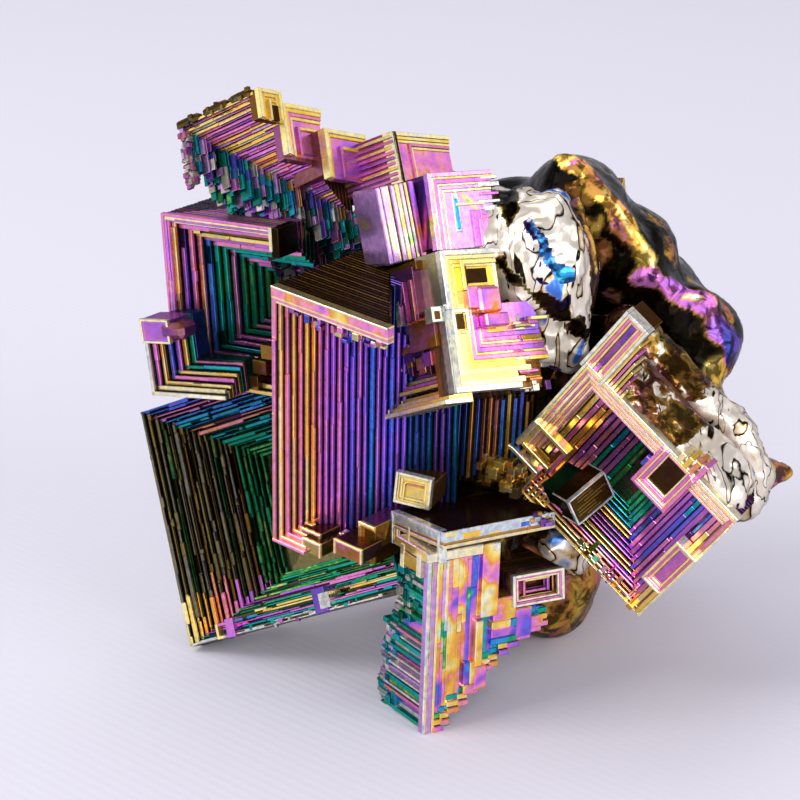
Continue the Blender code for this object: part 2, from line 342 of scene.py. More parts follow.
def box_points(low, high, bevel):
    """The points of a chamfered box, in the order that chamfered_box gives."""
    middle, half = (low + high) / 2, (high - low) / 2
    points = np.empty((BOX_POINTS, 3))
    for index, corner in enumerate(CORNERS):
        for axis in range(3):
            inset = np.full(3, bevel)
            inset[axis] = 0.0
            points[3 * index + axis] = middle + (half - inset) * np.array(corner)
    return points


BOX_FACES = chamfered_box()
FACE_KINDS = np.array([kind for _, kind in BOX_FACES])


def placement(corner, turn):
    """The matrix of a crystal's own frame, from its corner and its turn."""
    angles = Euler([math.radians(angle) for angle in turn], "XYZ")
    place = Matrix.Translation((Vector(corner) + CENTRING) * MM)
    return place @ angles.to_matrix().to_4x4() @ Matrix.Scale(MM, 4)


def in_scene(name, data):
    """Puts a mesh, a light or a camera into the scene."""
    obj = bpy.data.objects.new(name, data)
    bpy.context.scene.collection.objects.link(obj)
    return obj


def mesh_object(name, points, faces):
    mesh = bpy.data.meshes.new(name)
    mesh.from_pydata(points, [], faces)
    return in_scene(name, mesh)


def note_on(mesh, domain, **values):
    """Writes one number for each face or point under each name."""
    for name, numbers in values.items():
        mesh.attributes.new(name, "FLOAT", domain).data.foreach_set("value", numbers)


# How a ledge on each side of a pit is laid: the axis across the wall, the
# axis along it, and whether the wall is at the high end of its axis.
SIDES = {"left": (0, 2, False), "right": (0, 2, True), "bottom": (2, 0, False), "top": (2, 0, True)}
OPPOSITE = {"left": "right", "right": "left", "bottom": "top", "top": "bottom"}
TOP_LEFT, ARCH = ("left", "top"), ("left", "top", "right")
WINDING = ("left", "top", "right", "bottom")
# How far a crystal's outline wanders from one ledge to the next.
WANDER = 0.05
# Of each step in a pit, the share that its lip fills and the share before the
# groove behind the lip starts. A shorter lip than SHORTEST_LIP isn't laid.
LIP_SHARE, GROOVE_START, SHORTEST_LIP = 0.55, 0.35, 0.4
# Ledges lap over the next, so that no gap shows between them.
LAP, SLAB_LAP = 0.04, 0.03
PIT_FLOOR = 0.8
# Behind its pit a crystal is laid in slabs of about this thickness.
SLAB = (0.6, 1.1)
# Frames end where less room than this is left inside them. A floor needs less.
SMALLEST_FRAME = 0.15
SMALLEST_FLOOR = 0.1


def cut_strip(edges, side, width):
    """Cuts a strip off one side: the strip's edges, and those of what is left."""
    at_high_end = SIDES[side][2]
    cut = edges[side] - width if at_high_end else edges[side] + width
    return {**edges, OPPOSITE[side]: cut}, {**edges, side: cut}


class Growth:
    """Gathers the ledges of a group of crystals and makes one mesh of them."""

    def __init__(self, name, seed):
        self.name = name
        self.rng = random.Random(seed)
        self.points, self.loops = [], []
        self.film, self.shade, self.drift = [], [], []
        self.aim(Matrix.Identity(4))

    def aim(self, matrix):
        """Lays what follows in the frame of this matrix."""
        self.frame = matrix
        self.turner = np.array(matrix.to_3x3()).T
        self.mover = np.array(matrix.translation)

    def at(self, corner, turn):
        """Works in the frame of the crystal with this corner and turn."""
        self.aim(placement(corner, turn))

    def face_left(self, depth):
        """Turns to the left side of a crystal of this depth.

        X then runs from the crystal's back to its front and Y into its side.
        """
        back_corner = Matrix.Translation((0.0, depth, 0.0))
        self.aim(self.frame @ back_corner @ Matrix.Rotation(-math.pi / 2, 4, "Z"))

    def bar(self, low, high, film, shade=1.0, sides=None, drift=0.12, bevel=BEVEL, paint=None):
        """Adds one ledge.

        sides gives (film, shade) changes by face, and paint the values
        themselves. A change of shade by face paints each face lighter or darker by
        which way it looks, and the bevels get a painted edge highlight.
        """
        low, high = np.minimum(low, high).astype(float), np.maximum(low, high).astype(float)
        thinnest = (high - low).min()
        if thinnest < THINNEST:
            return
        films = np.full(len(BOX_FACES), float(film))
        shades = np.full(len(BOX_FACES), float(shade))
        # a painted edge highlight on the bevels, where the oxide is also thinner
        films[FACE_KINDS == CHAMFER] += BEVEL_FILM
        shades[FACE_KINDS == CHAMFER] = min(BEVEL_HIGHLIGHT_MAX, shade * BEVEL_HIGHLIGHT_GAIN + BEVEL_GLINT)
        for kind, (more, times) in (sides or {}).items():
            films[FACE_KINDS == kind] += more
            shades[FACE_KINDS == kind] *= times
        for kind, (own_film, own_shade) in (paint or {}).items():
            films[FACE_KINDS == kind] = own_film
            shades[FACE_KINDS == kind] = own_shade
        first = BOX_POINTS * len(self.points)
        self.loops.extend([first + index for index in loop] for loop, _ in BOX_FACES)
        self.points.append(
            box_points(low, high, min(bevel, thinnest * BEVEL_SHARE)) @ self.turner + self.mover
        )
        self.film.append(films)
        self.shade.append(shades)
        self.drift.append(np.full(len(BOX_FACES), drift))

    def panel(self, edges, near, back, film, shade, drift):
        """Adds a ledge between these edges, from near to back."""
        self.bar((edges["left"], near, edges["bottom"]), (edges["right"], back, edges["top"]),
                 film, shade, drift=drift)

    def frames(self, low, high, layers, sides=SIDES, floor=None, sink=0.3, top=0.0, drift=0.15, thick=0.8):
        """Lays nested flat frames on a face, each deeper by sink than the one around it.

        low and high are the face's corners (across, up). layers give each
        frame's (width, film, shade) from the outside in, floor (film, shade,
        drift) what is left inside. top is where the first one starts.
        """
        edges = dict(zip(SIDES, (low[0], high[0], low[1], high[1])))
        near = top
        back = top + sink * len(layers) + thick
        for width, film, shade in layers:
            if min(edges["right"] - edges["left"], edges["top"] - edges["bottom"]) < SMALLEST_FRAME:
                return
            for side in SIDES:
                if side in sides:
                    strip, edges = cut_strip(edges, side, width)
                    self.panel(strip, near, back, film, shade, drift)
            near += sink
        room = min(edges["right"] - edges["left"], edges["top"] - edges["bottom"])
        if floor and room > SMALLEST_FLOOR:
            self.panel(edges, near, back + 0.1, *floor)

    def spiral(self, low, high, width, layers, gap=0.12, sink=0.22, top=0.0, thick=1.2, drift=0.15):
        """Winds one stepped ledge inwards: up the left, along the top, down the right, back below."""
        edges = dict(zip(SIDES, (low[0], high[0], low[1], high[1])))
        near, back = top, top + thick
        for number, (film, shade) in enumerate(layers):
            if min(edges["right"] - edges["left"], edges["top"] - edges["bottom"]) < width:
                return
            way = number % len(WINDING)
            side = WINDING[way]
            strip, _ = cut_strip(edges, side, width)
            if way:
                # it joins the length before it, across the gap
                before = WINDING[way - 1]
                strip[before] += -gap if before == "left" else gap
            self.panel(strip, near, back, film, shade, drift)
            _, edges = cut_strip(edges, side, width + gap)
            near += sink

    def crumbs(self, low, high, count, size, films, shades, drift=0.2):
        """Strews small crystals of about this size in the space from low to high."""
        rng = self.rng
        for _ in range(count):
            middle = np.array([rng.uniform(a, b) for a, b in zip(low, high)])
            half = np.array([rng.uniform(0.25, 0.7) * size for _ in range(3)])
            self.bar(middle - half, middle + half, rng.choice(films), rng.uniform(*shades), drift=drift)

    def piece(self, material):
        """One mesh of all the ledges, with their tones noted on its faces."""
        points = np.concatenate(self.points)
        # what reaches the ground stands flat on it
        points[:, 2] = np.maximum(points[:, 2], 0.0)
        obj = mesh_object(self.name, points, self.loops)
        tones = {"film": self.film, "shade": self.shade, "drift": self.drift}
        note_on(obj.data, "FACE", **{
            name: np.clip(np.concatenate(values), 0.0, TONE_LIMIT) for name, values in tones.items()
        })
        obj.data.materials.append(material)
        return obj


def hopper(growth, size, pit_depth, levels, margins, tone, back=(0.0, (0.0,) * 4), ragged=0.08, rib=0.75,
           gaps=0.05, sides=SIDES, floor=True, behind=True, longest=6.0, groove=0.2, riser=(0.07, 0.75),
           tread=(0.04, 0.45), coat=None, ends=None):
    """Builds a hopper as a stack of ledges around its pit.

    tone(side, level, along) gives (film, shade, drift), with level from 0 at
    the rim to 1 at the pit's floor and along from 0 to 1 on the ledge.
    margins are the pit floor's distances from left, right, bottom and top.
    back is how much further the crystal goes behind its depth, and how much
    each side draws in there. ragged is how far a lip strays, rib its share of
    a ledge's width, longest its length, gaps the share of lips left out and
    groove how bright the gap behind a lip stays, a painted shade in the groove.
    riser is how a lip's inner face differs in film and painted shade, tread the
    same for the bottom ledges. coat is (film, shade) of the hopper's outer faces
    by side, ends the same for its ledges' ends.
    """
    rng = growth.rng
    depth = size[1]
    back_depth, narrowing = back
    inset = dict(zip(SIDES, margins))
    drawn_in = dict(zip(SIDES, narrowing))
    coat, ends = coat or {}, ends or {}

    def outline_at(near):
        """How far in from the rim's outline each side lies at this depth."""
        share = min(max(near - depth, 0.0) / back_depth, 1.0) if back_depth else 0.0
        return {side: drawn_in[side] * share + rng.uniform(0.0, WANDER) for side in SIDES}

    def inset_at(level):
        """How far in each side of the pit has come after this many levels."""
        return {side: inset[side] * (level / levels) for side in SIDES}

    def span(axis, insets):
        low, high = ("left", "right") if axis == 0 else ("bottom", "top")
        return insets[low], size[axis] - insets[high]

    def lay(side, rim, pit, reach, near, far, film, shade, drift):
        """Adds a ledge that lies from rim to pit in from its side."""
        across, along, at_high_end = SIDES[side]
        outer, inner = 2 * across, 2 * across + 1
        if at_high_end:
            rim, pit = size[across] - pit, size[across] - rim
            outer, inner = inner, outer
        low, high = np.empty(3), np.empty(3)
        low[across], high[across] = rim, pit
        low[along], high[along] = reach
        low[1], high[1] = near, far
        paint = {outer: coat[side]} if side in coat else {}
        if side in ends:
            paint[2 * along + 1] = ends[side]
        growth.bar(low, high, film, shade, {inner: tread if side == "bottom" else riser}, drift, paint=paint)

    step = pit_depth / levels
    for level in range(levels):
        near, far = level * step, (level + 1) * step
        outline = outline_at(near)
        start, end = inset_at(level), inset_at(level + 1)
        for side in sides:
            along = SIDES[side][1]
            # the ledge's body, kept a little behind its lip and darkened by groove as painted shade
            film, shade, drift = tone(side, level / levels, 0.5)
            lay(side, outline[side], max(end[side] - 0.06, outline[side] + 0.05), span(along, outline),
                near + step * GROOVE_START, far + LAP, film + 0.05, shade * groove, drift)
            # the lip, in lengths that grew a little differently
            first = outline[side]
            if level:
                first = max(start[side] + (1 - rib) * (end[side] - start[side]), first)
            lip_low, lip_high = span(along, start)
            length = lip_high - lip_low
            if length < SHORTEST_LIP:
                continue
            pieces = max(1, round(length / rng.uniform(0.5, 1.0) / longest))
            cuts = [0.0] + sorted(rng.uniform(0, 1) for _ in range(pieces - 1)) + [1.0]
            for cut, next_cut in zip(cuts, cuts[1:]):
                if pieces > 1 and rng.random() < gaps:
                    continue
                film, shade, drift = tone(side, level / levels, (cut + next_cut) / 2)
                rim = first + rng.uniform(0, ragged) * 0.4
                pit = end[side] + rng.uniform(-ragged, ragged)
                front = max(near - rng.uniform(-0.2, 1.0) * ragged, 0.0) if level else near
                lay(side, rim, pit, (lip_low + length * cut, lip_low + length * next_cut), front,
                    near + step * LIP_SHARE, film + rng.gauss(0, 0.02), shade * rng.uniform(0.8, 1.1), drift)
    if floor:
        film, shade, drift = tone("floor", 1.0, 0.5)
        (left, right), (bottom, top) = span(0, inset), span(2, inset)
        growth.bar((left - 0.1, pit_depth, bottom - 0.1), (right + 0.1, pit_depth + PIT_FLOOR, top + 0.1),
                   film, shade, drift=drift)
    if not behind:
        return
    # the crystal behind its pit
    total_depth = depth + back_depth
    near = pit_depth
    while near < total_depth - 0.05:
        far = min(near + rng.uniform(*SLAB), total_depth)
        outline = outline_at(near)
        (left, right), (bottom, top) = span(0, outline), span(2, outline)
        film, shade, drift = tone("outside", near / total_depth, 0.5)
        growth.bar((left, near, bottom), (right, far + SLAB_LAP, top),
                   film + rng.gauss(0, 0.015), shade, drift=drift)
        near = far


# ------------------------------------------------- how each crystal is tinted
# Each returns (film, shade, drift) for a ledge: how thick the oxide is, how
# bright it stays and how far its colour wanders. Runs go from rim to floor.
# A shade that falls from rim to floor is painted shade deep in the pit.

def blend(a, b, share):
    return a + (b - a) * min(max(share, 0.0), 1.0)


def step_of(run, level):
    """The value of the run at this level, from 0 to 1."""
    return run[min(int(level * len(run) + 0.001), len(run) - 1)]


LOWER_LEFT_FILMS = {
    "left": (0.10, 0.16, 0.12, 0.90, 0.14, 0.10, 0.22, 0.13),
    "top": (0.62, 0.38, 0.66, 0.70, 0.30, 0.74, 0.77, 0.79, 0.82, 0.84),
    "bottom": (0.05, 0.74, 0.42, 0.76, 0.16, 0.80, 0.86, 0.40, 0.88, 0.84, 0.90, 0.82, 0.88, 0.85),
}


def lower_left_tone(side, level, along):
    """Olive-black ribs whose darkness is a painted dark reflection, their tips yellow to magenta; mint ledges
    below.
    """
    if side == "left":
        if along < 0.22 * (1 - level):
            return blend(0.14, 0.44, level * 1.6), 1.0, 0.06
        if level > 0.72:
            return 0.86, 0.42, 0.08
        return step_of(LOWER_LEFT_FILMS[side], (level * 2.5) % 1), blend(0.21, 0.13, level), 0.08
    if side == "top":
        return step_of(LOWER_LEFT_FILMS[side], level), blend(0.62, 0.5, level), 0.12
    if side == "bottom":
        return step_of(LOWER_LEFT_FILMS[side], level), 0.95, 0.14
    if side == "right":
        return blend(0.76, 0.86, level), 0.35, 0.12
    if side == "floor":
        return 0.84, 0.22, 0.1
    return 0.10, 0.34, 0.10


UPPER_LEFT_FILMS = {
    "left": (0.40, 0.17, 0.46, 0.36, 0.27, 0.62, 0.76, 0.79, 0.38, 0.82, 0.84, 0.80, 0.88, 0.86),
    "top": (0.12, 0.38, 0.16, 0.42, 0.34, 0.78, 0.74, 0.40, 0.80, 0.84),
    "bottom": (0.16, 0.36, 0.17, 0.38, 0.76, 0.40, 0.82, 0.36, 0.84, 0.86),
}
# Each side's shade at the rim and at the floor, and its drift.
UPPER_LEFT_SHADES = {"left": (1.05, 0.55, 0.16), "top": (1.05, 0.6, 0.12), "bottom": (1.0, 0.7, 0.14)}


def upper_left_tone(side, level, along):
    """Pink, gold and lavender lips turning teal, then green, with depth."""
    if side == "floor":
        return 0.86, 0.30, 0.1
    if side == "outside":
        return 0.42, 0.9, 0.3
    rim, deep, drift = UPPER_LEFT_SHADES[side]
    return step_of(UPPER_LEFT_FILMS[side], level), blend(rim, deep, level), drift


def left_cup_tone(side, level, along):
    """Lavender, yellow and blue-grey walls over pink and yellow ledges."""
    shade = blend(1.05, 0.85, level)
    if side == "bottom":
        return step_of((0.08, 0.17, 0.38, 0.15, 0.78, 0.36), level), shade, 0.12
    return step_of((0.05, 0.44, 0.17, 0.60, 0.44, 0.27, 0.78), level), shade, 0.14


RIBBED_FILMS = (
    0.35, 0.12, 0.38, 0.15, 0.36, 0.17, 0.26, 0.38, 0.41, 0.44, 0.40, 0.47, 0.56, 0.42, 0.48, 0.62, 0.44,
    0.50, 0.58, 0.46, 0.53,
)
RIBBED_DEEP_FILMS = (0.62, 0.56, 0.64, 0.48, 0.60, 0.66)
# Where its deep and darker ribs start.
RIBBED_DEEP = 0.72


def ribbed_tone(side, level, along):
    """Pink and gold lips, then magenta and violet ribs, then indigo."""
    if side == "top":
        return blend(0.36, 0.50, level), blend(0.9, 0.3, level * 3), 0.12
    if level > RIBBED_DEEP:
        return step_of(RIBBED_DEEP_FILMS, (level - RIBBED_DEEP) * 3.6), 0.42, 0.1
    return step_of(RIBBED_FILMS, level / RIBBED_DEEP), 1.05, 0.1


def small_box_tone(side, level, along):
    """A pale gold rim around pink and violet steps."""
    if side == "outside":
        return 0.25, 0.14, 0.2
    if side == "floor":
        return 0.30, 0.5, 0.3
    return step_of((0.08, 0.15, 0.20, 0.36, 0.44), level), blend(1.05, 0.8, level), 0.1


DIAMOND_FILMS = {
    "left": (0.12, 0.34, 0.16, 0.38, 0.27, 0.44, 0.36, 0.74, 0.42, 0.80, 0.84),
    "right": (0.14, 0.36, 0.46, 0.38, 0.56, 0.46, 0.40, 0.62, 0.48, 0.76, 0.80, 0.84),
    "top": (0.10, 0.36, 0.15, 0.40, 0.46, 0.74, 0.38, 0.80, 0.84),
    "bottom": (0.14, 0.36, 0.17, 0.42, 0.20, 0.74, 0.80),
}


def diamond_tone(side, level, along):
    """Pale rim bands, broad pink, gold and violet ribs, teal and green inside."""
    if side == "floor":
        return 0.84, 0.30, 0.14
    if side == "outside":
        return 0.30, 0.35, 0.22
    film = step_of(DIAMOND_FILMS[side], level)
    if side == "right" and along > 0.7:
        film += 0.16
    return film, blend(1.1, 0.8, level), 0.12


def back_tone(side, level, along):
    """The unseen side: the same run from gold rims to blue and green floors."""
    if side == "outside":
        return 0.34, 0.6, 0.24
    if side == "floor":
        return 0.78, 0.6, 0.2
    start = {"left": 0.16, "right": 0.26, "bottom": 0.36, "top": 0.12}[side]
    return blend(start, start + 0.5, level), blend(1.0, 0.55, level), 0.16


# ---------------------------------------------------------------- crystals

Crystal = namedtuple("Crystal", "corner turn size")

# Where the solid has each hopper: its corner, its turn, and its width, depth
# and height before it narrows.
LOWER_LEFT = Crystal((-33.6, -3.0, 0.6), (-16.5, -23.5, -26.0), (31.5, 3.5, 29.6))
UPPER_LEFT = Crystal((-34.9, 2.0, 33.2), (1.7, -2.5, -36.3), (17.5, 13.0, 20.4))
RIBBED = Crystal((-22.7, -14.0, 18.9), (4.6, 5.4, -41.4), (17.2, 18.0, 31.7))
DIAMOND = Crystal((3.1, -8.0, 26.0), (11.0, 40.0, -27.4), (23.9, 4.0, 20.3))
# The same for the back, with each pit's depth, levels and margins.
BACK_HOPPERS = [
    (Crystal((22.0, 22.0, 36.0), (12.0, 10.0, 160.0), (19.0, 9.0, 17.0)), 7.2, 14, (5.4, 5.0, 4.6, 4.6)),
    (Crystal((-8.0, 27.0, 20.0), (-10.0, -14.0, 205.0), (17.0, 10.0, 19.0)), 7.2, 14, (5.0, 4.2, 5.2, 5.0)),
    (Crystal((20.0, 24.0, 8.0), (6.0, -20.0, 172.0), (14.0, 10.0, 15.0)), 5.6, 11, (4.0, 4.0, 4.0, 4.0)),
]


def grow_left_group():
    """The two big hoppers on the left and the cup between them."""
    lower = Growth("lower_left_hopper_ledges", 11)
    lower.at(LOWER_LEFT.corner, LOWER_LEFT.turn)
    hopper(lower, LOWER_LEFT.size, 10.0, 20, (10.0, 5.0, 6.4, 8.2), lower_left_tone,
           back=(9.0, (6.0, 3.0, 4.0, 4.5)), ragged=0.2, longest=3.2, groove=0.12, riser=(0.02, 0.6),
           tread=(0.0, 0.5), coat={"top": (0.64, 0.5), "bottom": (0.05, 0.6), "left": (0.12, 0.3)})
    # blocks that grew on the lower rim
    lower.bar((6.0, -0.25, -0.1), (7.2, 2.0, 2.2), 0.42, 0.95, drift=0.2)
    lower.spiral((4.6, 0.0), (6.8, 1.9), 0.35, [(0.14, 1.0), (0.40, 1.0), (0.12, 1.0), (0.38, 0.9)], top=-0.4)
    lower.bar((19.2, -0.3, 0.0), (21.0, 2.4, 3.0), 0.50, 0.6, drift=0.4)
    lower.bar((20.1, -0.45, 0.4), (21.6, 2.4, 2.3), 0.04, 0.7, drift=0.3)
    lower.crumbs((7.5, -0.1, -0.1), (26.0, 0.5, 0.5), 14, 0.5, (0.76, 0.05, 0.42), (0.4, 0.9))

    upper = Growth("upper_left_hopper_ledges", 12)
    upper.at(UPPER_LEFT.corner, UPPER_LEFT.turn)
    hopper(upper, UPPER_LEFT.size, 9.6, 14, (9.6, 0.0, 7.8, 8.4), upper_left_tone,
           sides=("left", "top", "bottom"), ragged=0.14, longest=5.0, rib=0.85, riser=(0.05, 0.85),
           tread=(0.02, 0.25), coat={"top": (0.42, 0.95), "left": (0.44, 0.9)}, ends={"top": (0.25, 0.03)})
    # painted shade: a near-black block on the right end, like the near-black ends of the top ledges, stands
    # for the dark cavity between this hopper and the ribbed one
    upper.bar((16.6, -0.2, 17.0), (17.7, 3.4, 20.45), 0.25, 0.015, drift=0.1)
    upper.bar((16.3, -0.25, 17.6), (16.8, 0.8, 20.5), 0.12, 0.9, drift=0.3)
    upper.frames((-0.05, 0.0), (16.4, 20.5), [(0.35, 0.38, 1.0), (0.3, 0.10, 1.05), (0.3, 0.44, 1.0)],
                 sides=TOP_LEFT, sink=0.12, top=-0.1, thick=0.3)
    # blunt brown ends of its lowest ledges
    for across, up in ((12.0, 2.6), (13.4, 4.6), (10.6, 0.6)):
        upper.bar((across + 0.5, -0.2, up), (across + 2.5, 2.6, up + 1.7), 0.25, 0.12, {FRONT: (0.0, 2.4)},
                  0.2)
    # the cup: a left wall and stepped ledges below, open to the right
    upper.at((-37.2, -3.0, 32.8), (1.1, -7.6, -36.0))
    hopper(upper, (11.4, 6.4, 9.1), 4.4, 7, (4.2, 0.0, 3.6, 0.0), left_cup_tone, sides=("left", "bottom"),
           ragged=0.12, longest=6.0, rib=0.85, floor=False, behind=False, riser=(0.05, 0.85),
           tread=(0.02, 0.3), coat={"left": (0.46, 0.8), "bottom": (0.08, 0.7)})
    upper.bar((0.2, 4.3, 0.0), (4.2, 6.6, 9.0), 0.60, 0.3)
    upper.bar((0.2, 4.3, 0.0), (11.0, 6.6, 3.6), 0.80, 0.3)
    upper.bar((-0.05, -0.2, 6.6), (4.3, 3.6, 9.3), 0.44, 0.85, {TOP: (0.0, 0.9)}, 0.3)
    upper.frames((0.0, 6.5), (4.4, 9.4), [(0.3, 0.10, 1.05), (0.25, 0.44, 1.0)], floor=(0.60, 0.6, 0.5),
                 sink=0.12, top=-0.35, thick=0.3)
    upper.bar((3.0, -0.5, 7.1), (6.6, 2.6, 9.0), 0.40, 0.35, drift=0.4, bevel=0.7)
    return [lower, upper]


# The ribbed hopper's pit: its depth, and how far its top steps down on the way in.
RIBBED_PIT, RIBBED_DROP = 14.98, 8.68
# How much narrower its roof grows for each millimetre of depth.
ROOF_NARROWING = 0.88
# The band along its top edge: (film, width) from the top down.
RIBBED_BAND = [(0.12, 0.2), (0.38, 0.95), (0.14, 0.25), (0.36, 0.3), (0.10, 0.25)]
ROOF_RIDGES, ROOF_RIDGE = 30, 0.55


def grow_ribbed_hopper():
    """The tall hopper in front, open on its right and below."""
    growth = Growth("ribbed_hopper_ledges", 21)
    rng = growth.rng
    width, depth, height = RIBBED.size
    growth.at(RIBBED.corner, RIBBED.turn)
    # its top coat and the ends of its top ledges are painted near black, as painted shade under the arm
    hopper(growth, (width, 0.1, height), RIBBED_PIT, 29,
           (RIBBED_PIT, ROOF_NARROWING * RIBBED_PIT, 0.0, RIBBED_DROP), ribbed_tone,
           back=(depth - 0.1, (0.0, ROOF_NARROWING * depth, 0.0, 0.0)), sides=TOP_LEFT, ragged=0.1,
           longest=12.0, floor=False, gaps=0.02, rib=0.85, groove=0.3, riser=(0.04, 1.0),
           coat={"top": (0.24, 0.10), "left": (0.40, 0.6)}, ends={"top": (0.26, 0.12)})
    # the band along its top edge, and torn violet flakes under it
    up = height
    for number, (film, wide) in enumerate(RIBBED_BAND):
        growth.bar((0.0, -0.12 + 0.05 * number, up - wide - 0.04), (width, 1.1, up), film, 1.05,
                   {TOP: (0.0, 0.4)}, 0.9 if wide > 0.5 else 0.12)
        up -= wide
    growth.crumbs((1.5, 0.2, height - 3.4), (width - 1.0, 1.4, height - 2.0), 34, 0.7,
                  (0.48, 0.56, 0.40, 0.14), (0.4, 1.0))
    # the roof in thin ridges, narrower to the back, painted near black as painted shade and dark reflection
    # under the arm above it
    for number in range(ROOF_RIDGES):
        near = 0.9 + ROOF_RIDGE * number
        end = width - ROOF_NARROWING * near
        growth.bar((0.0, near, height - 0.4),
                   (end, near + ROOF_RIDGE + 0.02, height + rng.uniform(0.0, 0.06)), 0.25,
                   rng.uniform(0.02, 0.04), drift=0.1, paint={CHAMFER: (0.24, rng.uniform(0.02, 0.10))})
    # the lowest lips bend round to the right
    for number in range(7):
        side, near, up = 0.55 * number, 0.5 * number, 0.42 * number
        growth.bar((side, near - 0.05, up - 0.1), (5.0 - 0.2 * number, near + 0.6, up + 0.3),
                   step_of(RIBBED_FILMS, number / len(RIBBED_FILMS)), 1.05, drift=0.1)
    # blocks at the feet of the ribs
    for low, high, film in (
        ((4.2, 0.6, 0.0), (7.0, 4.0, 1.7), 0.19), ((3.0, 1.6, 0.7), (6.0, 5.0, 2.2), 0.26),
        ((8.2, 1.6, 0.8), (12.4, 5.0, 2.6), 0.22),
    ):
        growth.bar(low, high, film, 0.4, {TOP: (0.04, 0.2), RIGHT: (0.04, 0.3)}, 0.3)
        (left, front, bottom), (right, _, top) = low, high
        growth.frames((left - 0.05, bottom - 0.05), (right + 0.05, top + 0.05),
                      [(0.22, 0.15, 1.0), (0.15, 0.36, 0.9)], sides=ARCH, top=front - 0.1, sink=0.05,
                      thick=0.3)
    growth.at((-14.9, -14.7, 18.2), (4.6, 5.4, -41.4))
    growth.bar((0.0, 0.0, 0.0), (5.7, 9.0, 2.0), 0.25, 0.3, {TOP: (0.1, 0.3)}, 0.3)
    growth.frames((0.0, 0.0), (3.6, 2.1), [(0.3, 0.14, 1.0), (0.3, 0.36, 0.95)], floor=(0.24, 0.25, 0.3),
                  sides=("left", "bottom"), sink=0.25, top=-0.3)
    growth.bar((3.3, -0.3, 0.0), (5.7, 6.0, 4.9), 0.24, 0.35, {FRONT: (-0.04, 2.7), TOP: (0.1, 0.6)}, 0.2)
    growth.frames((3.3, 0.0), (5.7, 4.9), [(0.4, 0.17, 1.0), (0.3, 0.26, 0.8)], floor=(0.24, 0.2, 0.3),
                  sides=TOP_LEFT, sink=0.15, top=-0.6, thick=0.2)
    return [growth]


ARM_DEPTH, ARM_HEIGHT, ARM_REACH = 13.6, 14.0, 13.0
# Its ledges start this far behind the front of the row.
ARM_FRONT = 0.9
# Where each block of the row ends, and how much lower its top is.
ARM_BLOCKS = [(3.4, 0.0), (9.4, 1.3), (13.6, 3.4)]
ARM_RIBS = 24
# How high the posts' feet are under the first rib.
ARM_FEET = 9.6
ARM_ROOF_FILMS = (0.17, 0.36, 0.20, 0.38, 0.27, 0.40, 0.34, 0.46, 0.40, 0.50)
ARM_SIDE_FILMS = (0.36, 0.40, 0.17, 0.38, 0.44, 0.36, 0.14, 0.38, 0.12)


